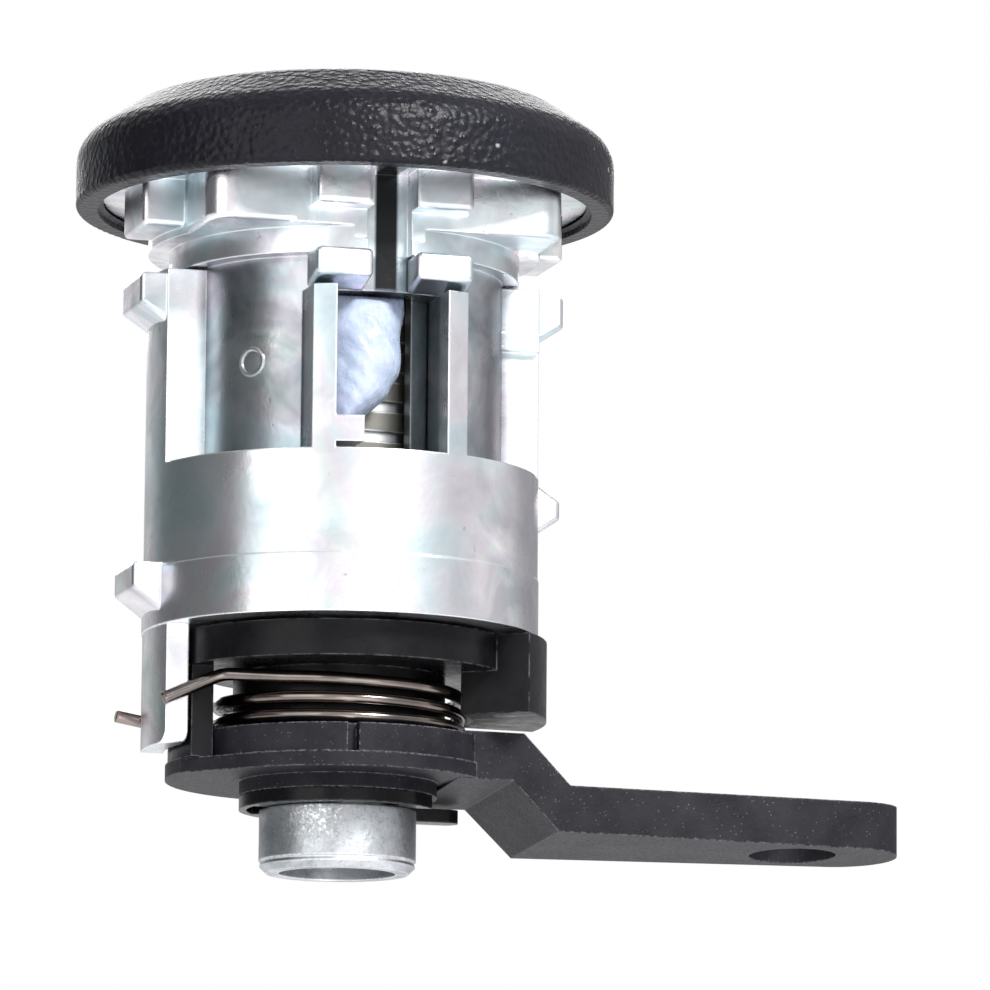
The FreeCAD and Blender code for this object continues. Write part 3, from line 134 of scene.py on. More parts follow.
class LockFinishes(bpy.types.PropertyGroup):
    """Colours of the lock's pieces."""

    cap: colour("Cap", "Grained black of the trim cap", (0.0035, 0.0035, 0.006))
    zinc: colour("Zinc", "Bright passivated casting", (0.90, 0.925, 0.95))
    zinc_dark: colour("Zinc, dull", "Duller patches of the casting", (0.52, 0.55, 0.58))
    tail: colour("Tail", "Cast and turned plug and tail", (0.66, 0.69, 0.72))
    face: colour("Face", "Plug face round the keyway", (0.62, 0.63, 0.64))
    # Disc colour darkened below that of the stamped metal as painted shade for the discs deep inside the plug
    disc: colour("Discs", "Stamped tumbler discs", (0.17, 0.165, 0.15))
    steel: colour("Steel", "Bright stamped steel", (0.70, 0.71, 0.72))
    spring: colour("Spring", "Oiled spring wire", (0.11, 0.105, 0.10))
    carrier: colour("Carrier", "Smooth black plastic", (0.0035, 0.0035, 0.0045))
    lever: colour("Lever", "Glass-filled charcoal plastic", (0.0075, 0.007, 0.0105))
    clip: colour("Clip", "Black phosphated clip", (0.005, 0.005, 0.006))
    grease: colour("Grease", "White grease in the window", (0.46, 0.53, 0.66))


class SpringSizes(bpy.types.PropertyGroup):
    """Sizes of the return spring."""

    wire: length("Wire radius", "Radius of the spring's wire", 0.52)
    mean: length("Mean radius", "Radius of the coil's middle line", 9.8)
    side: length("Leg side", "Distance of each leg from the middle plane", 4.9)
    top: length("Coil top", "Level where the front leg joins the coil", -39.35)
    first: length("First pass", "Level of the first turn at the front", -39.7)
    last: length("Last pass", "Level of the last turn at the front", -42.6)
    bottom: length("Coil bottom", "Level where the rear leg joins the coil", -42.6)
    front_reach: length("Front leg reach", "How far the front leg goes out", 15.8)
    front_end: length("Front leg end", "Level of the front leg's end", -41.2)
    rear_reach: length("Rear leg reach", "How far the rear leg goes out", 17.3)
    rear_end: length("Rear leg end", "Level of the rear leg's end", -41.5)
    leave: angle("Leave", "Bearing from the tab where each leg leaves the coil", 50)
    knee: length("Knee", "Distance from the middle where each leg bends", 10.9)
    front_knee: length("Front knee", "Level of the front leg's bend", -39.0)
    bend: IntProperty(name="Bend", description="Points that each bend is spread over", default=9, min=3)
    sides: IntProperty(name="Sides", description="Sides of the wire's section", default=20, min=8)
    steps: IntProperty(name="Steps", description="Rings of the mesh for each turn", default=96, min=24)


class CastingSizes(bpy.types.PropertyGroup):
    """Places on the casting that its finish and its painted shade follow."""

    barrel: length("Barrel", "Radius of the barrel between the ribs", 12.9)
    channel: length("Channel", "Level of the retainer channel's lower wall", -5.8)
    tail_top: length("Tail top", "Level where the plug leaves the housing", -35.0)
    tail_end: length("Tail end", "Level of the tail's end", -54.2)
    chips: FloatVectorProperty(
        name="Chips", description="Side of the tail that is staked", default=(-0.56, -0.83, 0.0))
    mark_bearing: angle("Mark bearing", "Bearing of the casting mark from the front", -49.4)
    mark_level: length("Mark level", "Level of the casting mark", -14.2)
    mark_radius: length("Mark radius", "Radius of the casting mark's ring", 1.05)
    mark_band: length("Mark band", "Width of the ring", 0.5)
    mark_height: length("Mark height", "How far the ring stands up", 0.16)
    slot: length("Slot", "Half width of the slot between the front studs", 0.9)
    slot_mouth: length("Slot mouth", "Radius where the slot opens", 16.6)


class GreaseSizes(bpy.types.PropertyGroup):
    """Sizes of the grease in the window."""

    left: length("Left edge", "Where the grease meets the left post", -4.55)
    top: length("Top edge", "Level of the upper edge", -8.75)
    bottom: length("Bottom edge", "Level of the lowest point", -20.3)
    back: length("Back", "Distance of its back from the axis", 10.6)
    swell: length("Swell", "How far it stands out at its thickest", 3.3)
    wrinkle: length("Wrinkle", "Height of its wrinkles", 0.15)


class StageSizes(bpy.types.PropertyGroup):
    """Camera, floor and light."""

    azimuth: angle("Azimuth", "Camera's bearing", -15)
    distance: length("Distance", "Camera's distance from the axis", 600)
    eye: length("Eye level", "Camera's height", -120)
    aim: FloatVectorProperty(
        name="Aim", description="Point the camera looks at", default=(0.0130, 0.0, -0.0225), subtype="XYZ")
    roll: angle("Roll", "Camera's turn about its own view", 0.5)
    view_width: length("View width", "Width of the picture at the axis", 81)
    floor: length("Floor", "Level of the floor", -320)


def finishes():
    """The colours of the lock's pieces in this scene."""
    return bpy.context.scene.lock_finishes


class Graph:
    """Adds nodes to a tree and links them, one call for each node."""

    def __init__(self, tree):
        self.tree = tree
        self.column = 0

    def add(self, kind, inputs=None, **settings):
        node = self.tree.nodes.new(kind)
        node.location = (self.column, 0)
        self.column += 180
        for key, value in settings.items():
            setattr(node, key, value)
        for key, value in (inputs or {}).items():
            self.feed(node.inputs[key], value)
        return node

    def feed(self, socket, value):
        if isinstance(value, bpy.types.NodeSocket):
            self.tree.links.new(value, socket)
        else:
            socket.default_value = value

    def math(self, operation, first, second=0.0, clamp=False):
        node = self.add("ShaderNodeMath", {0: first, 1: second}, operation=operation, use_clamp=clamp)
        return node.outputs[0]

    def vector(self, operation, first, second=(0.0, 0.0, 0.0)):
        """A number for a dot product or a length, and a vector for the rest."""
        node = self.add("ShaderNodeVectorMath", {0: first, 1: second}, operation=operation)
        return node.outputs["Value" if operation in ("DOT_PRODUCT", "LENGTH") else "Vector"]

    def noise(self, vector, scale, detail=3.0, roughness=0.5, distortion=0.0):
        node = self.add("ShaderNodeTexNoise", {
            "Vector": vector, "Scale": scale, "Detail": detail,
            "Roughness": roughness, "Distortion": distortion})
        return node.outputs["Fac"]

    def ramp(self, value, low, high, first=0.0, second=1.0):
        node = self.add("ShaderNodeMapRange", {
            "Value": value, "From Min": low, "From Max": high, "To Min": first, "To Max": second})
        return node.outputs["Result"]

    def mix(self, factor, first, second, blend="MIX"):
        node = self.add("ShaderNodeMix", data_type="RGBA", blend_type=blend)
        self.feed(node.inputs["Factor"], factor)
        self.feed(node.inputs[MIX_FIRST], first)
        self.feed(node.inputs[MIX_SECOND], second)
        return node.outputs[MIX_COLOUR]


def rgba(triple):
    """The colour with full cover."""
    return (triple[0], triple[1], triple[2], 1.0)


def darker(triple, share):
    """The colour at a share of its brightness."""
    return [channel * share for channel in triple]


def start_group(name, inputs, outputs):
    """A new node group with named sockets. Each input is (name, kind, default), each output (name, kind)."""
    tree = bpy.data.node_groups.new(name, "ShaderNodeTree")
    for title, kind, default in inputs:
        socket = tree.interface.new_socket(title, in_out="INPUT", socket_type=kind)
        if default is not None:
            socket.default_value = default
    for title, kind in outputs:
        tree.interface.new_socket(title, in_out="OUTPUT", socket_type=kind)
    graph = Graph(tree)
    source = graph.add("NodeGroupInput")
    target = tree.nodes.new("NodeGroupOutput")
    return tree, graph, source, target


def make_cast_skin():
    """Cast surface: fine orange-peel height, larger dull patches and small pits."""
    tree, graph, source, target = start_group("Cast Skin", [
        ("Vector", "NodeSocketVector", None),
        ("Grain", "NodeSocketFloat", 2400.0),
        ("Patch", "NodeSocketFloat", 190.0),
    ], [("Height", "NodeSocketFloat"), ("Patches", "NodeSocketFloat"), ("Pits", "NodeSocketFloat")])
    vector = source.outputs["Vector"]
    fine = graph.noise(vector, source.outputs["Grain"], 4.0, 0.6)
    wave = graph.noise(vector, graph.math("MULTIPLY", source.outputs["Patch"], 2.3), 2.0, 0.5)
    patch = graph.noise(vector, source.outputs["Patch"], 3.0, 0.55, 0.6)
    spot = graph.noise(vector, graph.math("MULTIPLY", source.outputs["Grain"], 0.45), 2.0, 0.7)
    pits = graph.ramp(spot, 0.70, 0.78)
    height = graph.math("ADD", graph.math("MULTIPLY", fine, 0.35), graph.math("MULTIPLY", wave, 0.65))
    height = graph.math("SUBTRACT", height, graph.math("MULTIPLY", pits, 0.25))
    graph.feed(target.inputs["Height"], height)
    graph.feed(target.inputs["Patches"], graph.ramp(patch, 0.38, 0.66))
    graph.feed(target.inputs["Pits"], pits)
    return tree


def make_passivation():
    """Thin-film tint of passivated zinc: pale blue, pink and straw drifting over a base colour."""
    tree, graph, source, target = start_group("Passivation Tint", [
        ("Vector", "NodeSocketVector", None),
        ("Base", "NodeSocketColor", (0.8, 0.8, 0.8, 1.0)),
        ("Strength", "NodeSocketFloat", 0.3),
        ("Scale", "NodeSocketFloat", 90.0),
    ], [("Color", "NodeSocketColor")])
    drift = graph.noise(source.outputs["Vector"], source.outputs["Scale"], 2.0, 0.5, 1.2)
    ramp = graph.add("ShaderNodeValToRGB", {"Fac": drift})
    stops = [
        (0.30, (0.70, 0.88, 0.90, 1.0)),
        (0.42, (0.96, 1.0, 1.0, 1.0)),
        (0.52, (1.0, 0.84, 0.90, 1.0)),
        (0.60, (1.0, 0.97, 0.90, 1.0)),
        (0.72, (0.78, 0.94, 0.92, 1.0)),
    ]
    while len(ramp.color_ramp.elements) < len(stops):
        ramp.color_ramp.elements.new(0.5)
    for element, (place, value) in zip(ramp.color_ramp.elements, stops):
        element.position = place
        element.color = value
    tint = graph.mix(source.outputs["Strength"], source.outputs["Base"], ramp.outputs["Color"], "MULTIPLY")
    graph.feed(target.inputs["Color"], tint)
    return tree


def make_leather_grain():
    """Moulded leather grain: rounded cells of uneven size with fine creases between them."""
    tree, graph, source, target = start_group("Leather Grain", [
        ("Vector", "NodeSocketVector", None),
        ("Scale", "NodeSocketFloat", 1500.0),
    ], [("Height", "NodeSocketFloat"), ("Crests", "NodeSocketFloat")])
    vector = source.outputs["Vector"]
    bend = graph.add("ShaderNodeTexNoise", {
        "Vector": vector, "Scale": graph.math("MULTIPLY", source.outputs["Scale"], 0.5), "Detail": 2.0})
    shift = graph.vector("MULTIPLY", bend.outputs["Color"], (0.00035, 0.00035, 0.00035))
    moved = graph.vector("ADD", vector, shift)
    cells = graph.add("ShaderNodeTexVoronoi", {
        "Vector": moved, "Scale": source.outputs["Scale"], "Smoothness": 0.6, "Randomness": 1.0},
        feature="SMOOTH_F1")
    dome = graph.math("SUBTRACT", 1.0, cells.outputs["Distance"])
    fine = graph.noise(vector, graph.math("MULTIPLY", source.outputs["Scale"], 3.0), 2.0, 0.6)
    height = graph.math("ADD", graph.math("MULTIPLY", dome, 0.85), graph.math("MULTIPLY", fine, 0.15))
    graph.feed(target.inputs["Height"], height)
    graph.feed(target.inputs["Crests"], graph.ramp(dome, 0.72, 0.9))
    return tree


def make_speckle():
    """Small bright specks, such as glass fibre ends, as a mask."""
    tree, graph, source, target = start_group("Specks", [
        ("Vector", "NodeSocketVector", None),
        ("Scale", "NodeSocketFloat", 6500.0),
        ("Share", "NodeSocketFloat", 0.12),
    ], [("Mask", "NodeSocketFloat")])
    cells = graph.add("ShaderNodeTexVoronoi", {
        "Vector": source.outputs["Vector"], "Scale": source.outputs["Scale"], "Randomness": 1.0})
    near = graph.ramp(cells.outputs["Distance"], 0.34, 0.12)
    pick = graph.add("ShaderNodeSeparateColor", {"Color": cells.outputs["Color"]})
    chosen = graph.math("LESS_THAN", pick.outputs[0], source.outputs["Share"])
    mask = graph.math("MULTIPLY", near, chosen, clamp=True)
    graph.feed(target.inputs["Mask"], mask)
    return tree


def make_soft_edge():
    """Rounded edges: a normal that turns over an edge, and a mask of where it does."""
    tree, graph, source, target = start_group("Soft Edge", [
        ("Radius", "NodeSocketFloat", 0.0002),
    ], [("Normal", "NodeSocketVector"), ("Edge", "NodeSocketFloat")])
    bevel = graph.add("ShaderNodeBevel", {"Radius": source.outputs["Radius"]}, samples=6)
    plain = graph.add("ShaderNodeNewGeometry")
    flatness = graph.vector("DOT_PRODUCT", bevel.outputs[0], plain.outputs["Normal"])
    graph.feed(target.inputs["Normal"], bevel.outputs[0])
    graph.feed(target.inputs["Edge"], graph.ramp(flatness, 0.995, 0.90))
    return tree


GROUP_MAKERS = {
    "Cast Skin": make_cast_skin,
    "Passivation Tint": make_passivation,
    "Leather Grain": make_leather_grain,
    "Specks": make_speckle,
    "Soft Edge": make_soft_edge,
}


def place_group(graph, name, inputs):
    """Put a shared effect into a material, building it the first time."""
    tree = bpy.data.node_groups.get(name) or GROUP_MAKERS[name]()
    node = graph.add("ShaderNodeGroup", node_tree=tree)
    for key, value in inputs.items():
        graph.feed(node.inputs[key], value)
    return node


def start_material(name):
    """A material with a Principled shader, its graph and its object coordinates."""
    material = bpy.data.materials.new(name)
    material.use_nodes = True
    material.node_tree.nodes.clear()
    graph = Graph(material.node_tree)
    place = graph.add("ShaderNodeTexCoord").outputs["Object"]
    shader = graph.add("ShaderNodeBsdfPrincipled")
    output = graph.add("ShaderNodeOutputMaterial")
    graph.feed(output.inputs["Surface"], shader.outputs[0])
    return material, graph, place, shader


def bump(graph, height, distance, normal=None):
    """A normal bent by a height, whose full range stands for a distance."""
    node = graph.add("ShaderNodeBump", {"Height": height, "Distance": distance, "Strength": 1.0})
    if normal is not None:
        graph.feed(node.inputs["Normal"], normal)
    return node.outputs[0]


def paint(name, material):
    """Give a CAD piece its finish."""
    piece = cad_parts[name]
    piece.data.materials.clear()
    piece.data.materials.append(material)
    return piece


def cast_metal(name, base, dull, roughness, tint, grain, height, shade=None, flecks=0.0):
    """Bare cast metal: patches, a faint film tint, fine grain, softened edges with a painted highlight,
    shaded recesses.
    """
    material, graph, place, shader = start_material(name)
    skin = place_group(graph, "Cast Skin", {"Vector": place, "Grain": grain})
    soft = place_group(graph, "Soft Edge", {"Radius": CAST_EDGE})
    broad = graph.ramp(graph.noise(place, 75.0, 3.0, 0.6, 0.8), 0.38, 0.62, 0.55, 1.0)
    clean = graph.math("MULTIPLY", skin.outputs["Patches"], broad)
    patched = graph.mix(clean, rgba(dull), rgba(base))
    tinted = place_group(graph, "Passivation Tint", {"Vector": place, "Base": patched, "Strength": tint})
    # Painted highlight: near-white along the softened edges, its strength drifting over broad patches
    edge_highlight_mask = graph.math("MULTIPLY", soft.outputs["Edge"], graph.ramp(broad, 0.3, 1.0, 0.45, 0.85))
    bright = graph.mix(edge_highlight_mask, tinted.outputs["Color"], EDGE_HIGHLIGHT)
    pitted = graph.mix(graph.math("MULTIPLY", skin.outputs["Pits"], 0.5), bright, PIT)
    if flecks:
        fleck = graph.ramp(graph.noise(place, 3400.0, 3.0, 0.7), 0.52, 0.66, 0.0, flecks)
        pitted = graph.mix(fleck, pitted, FLECK)
    if shade:
        pitted = shade(graph, place, pitted)
    graph.feed(shader.inputs["Base Color"], pitted)
    graph.feed(shader.inputs["Roughness"], graph.ramp(clean, 0.0, 1.0, roughness + 0.14, roughness))
    shader.inputs["Metallic"].default_value = 1.0
    graph.feed(shader.inputs["Normal"], bump(graph, skin.outputs["Height"], height, soft.outputs["Normal"]))
    return material


def across_axis(graph, place):
    """The part of a place that lies square to the lock's axis."""
    return graph.vector("MULTIPLY", place, (1.0, 1.0, 0.0))


def recess_shade(graph, place, colour_in):
    """Dull film on the barrel between the ribs, and near-black painted shade in the slot between the front
    studs.
    """
    sizes = bpy.context.scene.lock_casting
    radius = graph.vector("LENGTH", across_axis(graph, place))
    split = graph.add("ShaderNodeSeparateXYZ", {0: place})
    low = graph.ramp(radius, sizes.barrel + 0.9 * MM, sizes.barrel + 0.2 * MM)
    below = graph.ramp(split.outputs["Z"], sizes.channel + 0.2 * MM, sizes.channel - 0.4 * MM)
    cloud = graph.ramp(graph.noise(place, 130.0, 3.0, 0.6, 0.6), 0.35, 0.65, 0.5, 0.95)
    filmed = graph.math("MULTIPLY", graph.math("MULTIPLY", low, below), cloud)
    film = place_group(graph, "Passivation Tint", {
        "Vector": place, "Base": DULL_FILM, "Strength": 1.0, "Scale": 150.0})
    shaded = graph.mix(filmed, colour_in, film.outputs["Color"])
    # Painted shade: near black down in the slot between the front studs, where the groove is deep
    across = graph.math("ABSOLUTE", split.outputs["X"])
    narrow = graph.ramp(across, sizes.slot + 0.15 * MM, sizes.slot - 0.1 * MM)
    front = graph.ramp(split.outputs["Y"], 0.0, -1.0 * MM)
    deep = graph.ramp(radius, sizes.slot_mouth, sizes.slot_mouth - 0.8 * MM)
    above = graph.ramp(split.outputs["Z"], sizes.channel - 3.2 * MM, sizes.channel - 2.6 * MM)
    slot_shade_mask = graph.math("MULTIPLY", graph.math("MULTIPLY", narrow, front), graph.math("MULTIPLY", deep, above))
    return graph.mix(slot_shade_mask, shaded, SLOT_SHADE)


def plug_shade(graph, place, colour_in):
    """Painted shade, dark, on the plug inside the housing, and bright staked chips on its tail by the clip.
    """
    sizes = bpy.context.scene.lock_casting
    split = graph.add("ShaderNodeSeparateXYZ", {0: place})
    # Painted shade: darker on the plug above the tail's top, inside the housing
    inside = graph.ramp(split.outputs["Z"], sizes.tail_top - 1.0 * MM, sizes.tail_top + 1.0 * MM, 0.0, 0.8)
    shaded_inside = graph.mix(inside, colour_in, PLUG_INSIDE_SHADE)
    outward = graph.vector("NORMALIZE", across_axis(graph, place))
    spread = graph.ramp(graph.vector("DOT_PRODUCT", outward, sizes.chips), 0.90, 0.985)
    high = graph.ramp(split.outputs["Z"], sizes.tail_end + 1.0 * MM, sizes.tail_end + 4.5 * MM)
    broken = graph.ramp(graph.noise(place, 3600.0, 4.0, 0.8), 0.50, 0.60)
    chips = graph.math("MULTIPLY", graph.math("MULTIPLY", spread, high), broken)
    return graph.mix(graph.math("MULTIPLY", chips, 0.8), shaded_inside, WHITE)


def moulded_plastic(name, base, roughness, grain, height, lift, gleam, specks=0.0):
    """Moulded plastic: fine texture, faint patches, glass specks where it is filled, edges lightened partly
    by wear and partly as painted highlight.
    """
    material, graph, place, shader = start_material(name)
    fine = graph.noise(place, grain, 4.0, 0.65)
    broad = graph.noise(place, 260.0, 4.0, 0.6)
    soft = place_group(graph, "Soft Edge", {"Radius": PLASTIC_EDGE})
    lifted = graph.mix(graph.ramp(broad, 0.35, 0.7), rgba(base), rgba([channel + lift for channel in base]))
    if specks:
        fibre = place_group(graph, "Specks", {"Vector": place, "Share": specks})
        uneven = graph.math("MULTIPLY", fibre.outputs["Mask"], graph.ramp(broad, 0.3, 0.7, 0.1, 0.8))
        lifted = graph.mix(uneven, lifted, FIBRE)
    # Lighter edges, in spots: partly chipped wear, partly painted highlight, scaled by gleam
    edge_wear_and_highlight = graph.math("MULTIPLY", soft.outputs["Edge"], graph.ramp(fine, 0.42, 0.62))
    edged = graph.mix(graph.math("MULTIPLY", edge_wear_and_highlight, gleam), lifted, EDGE_WEAR_AND_HIGHLIGHT)
    graph.feed(shader.inputs["Base Color"], edged)
    graph.feed(shader.inputs["Roughness"], graph.ramp(fine, 0.3, 0.7, roughness - 0.09, roughness + 0.07))
    shader.inputs["Specular IOR Level"].default_value = PLASTIC_SHEEN
    graph.feed(shader.inputs["Normal"], bump(graph, fine, height, soft.outputs["Normal"]))
    return material


def mesh_piece(name, points, faces, material, smooth=True):
    """A mesh object at the origin from arrays of points and faces."""
    mesh = bpy.data.meshes.new(name)
    mesh.from_pydata(points.tolist(), [], [list(map(int, face)) for face in faces])
    mesh.polygons.foreach_set("use_smooth", np.full(len(mesh.polygons), smooth))
    mesh.update()
    piece = bpy.data.objects.new(name, mesh)
    bpy.context.scene.collection.objects.link(piece)
    piece.data.materials.append(material)
    return piece


def grid_faces(rows, columns, wrap):
    """Quads of a grid whose columns may close on themselves."""
    row = np.arange(rows - 1)[:, None] * columns
    column = np.arange(columns if wrap else columns - 1)[None, :]
    after = (column + 1) % columns
    quads = np.stack([row + column, row + after, row + columns + after, row + columns + column], axis=-1)
    return quads.reshape(-1, 4)


def tube(path, radius, sides):
    """Points and faces of a closed tube.

    Each ring is centre + radius * (across * cos u + over * sin u), where across is the path's
    tangent crossed with Z and over is across crossed with the tangent. Each end gets two smaller
    rings and a pole, which round the cut end of the wire.
    """
    tangent = np.gradient(path, axis=0)
    tangent /= np.linalg.norm(tangent, axis=1, keepdims=True)
    across = np.cross(tangent, (0.0, 0.0, 1.0))
    across /= np.linalg.norm(across, axis=1, keepdims=True)
    over = np.cross(across, tangent)
    scale = np.full(len(path), radius)
    depth = radius * END_DEPTH
    head = path[:1] - tangent[:1] * np.array([[depth], [depth * END_RIM]])
    foot = path[-1:] + tangent[-1:] * np.array([[depth * END_RIM], [depth]])
    path = np.vstack([head, path, foot])
    across = np.vstack([across[:1]] * 2 + [across] + [across[-1:]] * 2)
    over = np.vstack([over[:1]] * 2 + [over] + [over[-1:]] * 2)
    ends = [radius * END_INNER, radius * END_OUTER]
    scale = np.concatenate([ends, scale, ends[::-1]])
    turn = np.linspace(0, 2 * math.pi, sides, endpoint=False)
    ring = across[:, None, :] * np.cos(turn)[None, :, None] + over[:, None, :] * np.sin(turn)[None, :, None]
    points = path[:, None, :] + ring * scale[:, None, None]
    rows = len(path)
    points = points.reshape(-1, 3)
    faces = [tuple(face) for face in grid_faces(rows, sides, True)]
    first, last = len(points), len(points) + 1
    points = np.vstack([points, path[:1], path[-1:]])
    loop = np.arange(sides)
    after = (loop + 1) % sides
    base = (rows - 1) * sides
    faces += list(zip(after, loop, [first] * sides))
    faces += list(zip(base + loop, base + after, [last] * sides))
    return points, faces


def recalculated(piece):
    """Turn every face of a closed piece outwards."""
    work = bmesh.new()
    work.from_mesh(piece.data)
    bmesh.ops.recalc_face_normals(work, faces=work.faces)
    work.to_mesh(piece.data)
    work.free()
    return piece


def distances(path):
    """How far along the line each of its points lies."""
    return np.concatenate([[0.0], np.cumsum(np.linalg.norm(np.diff(path, axis=0), axis=1))])


def evened(path, spacing):
    """The same line with points an even distance apart."""
    walked = distances(path)
    marks = np.linspace(0, walked[-1], int(walked[-1] / spacing) + 1)
    return np.stack([np.interp(marks, walked, path[:, k]) for k in range(3)], axis=1)


def softened(path, count):
    """Each point becomes the weighted mean of its neighbours, so corners turn into bends."""
    kernel = np.hanning(count + 2)[1:-1]
    kernel /= kernel.sum()
    pad = count // 2
    longer = np.pad(path, ((pad, pad), (0, 0)), mode="reflect", reflect_type="odd")
    return np.stack([np.convolve(longer[:, k], kernel, mode="valid") for k in range(3)], axis=1)


def spring_path(size):
    """Middle line of the return spring, from the rear leg's end to the front leg's end.

    The coil is a helix: (r cos a, r sin a), with its height read off a line through the levels of
    its passes. Each leg leaves it for a knee and runs straight from there. The line is then
    divided evenly and softened, which bends the wire at the knees.
    """
    start = math.pi + size.leave
    sweep = 6 * math.pi - 2 * size.leave
    turned = np.linspace(0, sweep, int(size.steps * sweep / (2 * math.pi)))
    front = 1.5 * math.pi - start
    marks = [0, front, front + 2 * math.pi, front + 4 * math.pi, sweep]
    levels = [size.top, size.first, (size.first + size.last) / 2, size.last, size.bottom]
    height = np.interp(turned, marks, levels)
    coil = np.stack([size.mean * np.cos(start + turned), size.mean * np.sin(start + turned), height], axis=1)
    front_leg = np.array([
        (-size.front_reach, -size.side, size.front_end),
        (-size.knee, -size.side, size.front_knee),
    ])
    rear_leg = np.array([
        (-size.knee, size.side, size.bottom),
        (-size.rear_reach, size.side, size.rear_end),
    ])
    path = evened(np.vstack([front_leg, coil, rear_leg])[::-1], size.wire * 0.48)
    return softened(path, size.bend)


class LOCK_OT_return_spring(bpy.types.Operator):
    """Makes the return spring, which sits between the housing and the turning plug, in place of the CAD
    spring
    """

    bl_idname = "lock.return_spring"
    bl_label = "Return Spring"

    def execute(self, context):
        size = context.scene.lock_spring
        material, graph, place, shader = start_material("Spring Wire")
        drawn = graph.noise(place, 900.0, 3.0, 0.6)
        film = graph.noise(place, 210.0, 2.0, 0.5)
        shade = graph.mix(graph.ramp(film, 0.35, 0.65), rgba(finishes().spring), WARM_WIRE)
        graph.feed(shader.inputs["Base Color"], shade)
        graph.feed(shader.inputs["Roughness"], graph.ramp(drawn, 0.3, 0.7, 0.15, 0.25))
        shader.inputs["Metallic"].default_value = 1.0
        graph.feed(shader.inputs["Normal"], bump(graph, drawn, 0.000006))
        path = spring_path(size)
        points, faces = tube(path, size.wire, size.sides)
        piece = recalculated(mesh_piece("return_spring_wire", points, faces, material))
        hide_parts("return_spring")
        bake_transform(piece)
        return {"FINISHED"}


class LOCK_OT_grease(bpy.types.Operator):
    """Makes the grease packed into the front window"""

    bl_idname = "lock.grease"
    bl_label = "Window Grease"

    def execute(self, context):
        size = context.scene.lock_grease
        material, graph, place, shader = start_material("White Grease")
        broad = graph.noise(place, 420.0, 4.0, 0.55, 0.5)
        fine = graph.noise(place, 1900.0, 3.0, 0.5)
        shade = graph.mix(graph.ramp(broad, 0.35, 0.65), rgba(finishes().grease), DEEP_GREASE)
        graph.feed(shader.inputs["Base Color"], shade)
        graph.feed(shader.inputs["Roughness"], graph.ramp(fine, 0.3, 0.7, 0.18, 0.34))
        shader.inputs["Subsurface Weight"].default_value = 0.2
        shader.inputs["Subsurface Scale"].default_value = 0.002
        height = graph.math("ADD", broad, graph.math("MULTIPLY", fine, 0.25))
        graph.feed(shader.inputs["Normal"], bump(graph, height, 0.00022))
        points, faces = grease_surface(size)
        piece = recalculated(mesh_piece("window_grease", points, faces, material))
        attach(piece, "case")
        return {"FINISHED"}


def grease_surface(size):
    """A closed blob between the window's left post and a slanting free edge.

    Across u and down v, x runs from the left edge to right(v), a curve that swings in towards
    the bottom. The front stands off the back by swell times the greater of two forms: the rim's
    sin(pi u)^0.6 * sin(pi v)^0.4, and 0.35 (1.15 - u) * sin(pi v)^0.3, which holds it to the
    left post. Waves of three lengths, scaled by the rim's form, are added to that.
    """
    columns, rows = GREASE_COLUMNS, GREASE_ROWS
    u = np.linspace(0, 1, columns)[None, :]
    v = np.linspace(0, 1, rows)[:, None]
    z = size.top + (size.bottom - size.top) * v + 0 * u
    right = np.interp(v, GREASE_EDGE_AT, GREASE_EDGE_X) + 0.00012 * np.sin(v * 17)
    x = size.left + (right - size.left) * u
    rim = np.sin(np.pi * u) ** 0.6 * np.sin(np.pi * v) ** 0.4
    held = 0.35 * np.clip(1.15 - u, 0, 1) * np.sin(np.pi * v) ** 0.3
    wave = sum(share * np.sin(x * over + z * up + start) for over, up, start, share in GREASE_WAVES)
    full = size.swell * np.maximum(rim, held) + size.wrinkle * wave * rim * 0.4
    front = -(size.back + full)
    top = np.stack([x, front, z], axis=-1).reshape(-1, 3)
    back = np.stack([x, np.full_like(x, -size.back + 0.00015) + 0 * z, z], axis=-1).reshape(-1, 3)
    points = np.vstack([top, back])
    faces = [tuple(face) for face in grid_faces(rows, columns, False)]
    offset = rows * columns
    faces += [tuple(reversed(tuple(face + offset))) for face in grid_faces(rows, columns, False)]
    loop = np.concatenate([
        np.arange(columns),
        np.arange(1, rows) * columns + columns - 1,
        (rows - 1) * columns + np.arange(columns - 2, -1, -1),
        np.arange(rows - 2, 0, -1) * columns,
    ])
    after = np.roll(loop, -1)
    faces += list(zip(loop, loop + offset, after + offset, after))
    return points, faces


class LOCK_OT_trim_cap(bpy.types.Operator):
    """Gives the trim cap its moulded leather grain"""

    bl_idname = "lock.trim_cap"
    bl_label = "Trim Cap"

    def execute(self, context):
        material, graph, place, shader = start_material("Grained Black")
        grain = place_group(graph, "Leather Grain", {"Vector": place, "Scale": 1750.0})
        dust = place_group(graph, "Specks", {"Vector": place, "Scale": 1300.0, "Share": 0.004})
        broad = graph.noise(place, 120.0, 3.0, 0.5)
        base = graph.mix(graph.ramp(broad, 0.3, 0.7), rgba(finishes().cap), CAP_PATCH)
        base = graph.mix(graph.math("MULTIPLY", dust.outputs["Mask"], 0.5), base, DUST)
        graph.feed(shader.inputs["Base Color"], base)
        rough = graph.ramp(grain.outputs["Crests"], 0.0, 1.0, 0.38, 0.15)
        graph.feed(shader.inputs["Roughness"], rough)
        shader.inputs["Specular IOR Level"].default_value = CAP_SHEEN
        graph.feed(shader.inputs["Normal"], bump(graph, grain.outputs["Height"], 0.00016))
        paint("trim_cap", material)
        return {"FINISHED"}


class LOCK_OT_casting(bpy.types.Operator):
    """Gives the housing its bright cast zinc"""

    bl_idname = "lock.casting"
    bl_label = "Housing"

    def execute(self, context):
        looks = finishes()
        material = cast_metal(
            "Bright Zinc", looks.zinc, looks.zinc_dark,
            roughness=0.21, tint=0.55, grain=1900.0, height=0.00003, shade=recess_shade)
        paint("housing", material)
        return {"FINISHED"}


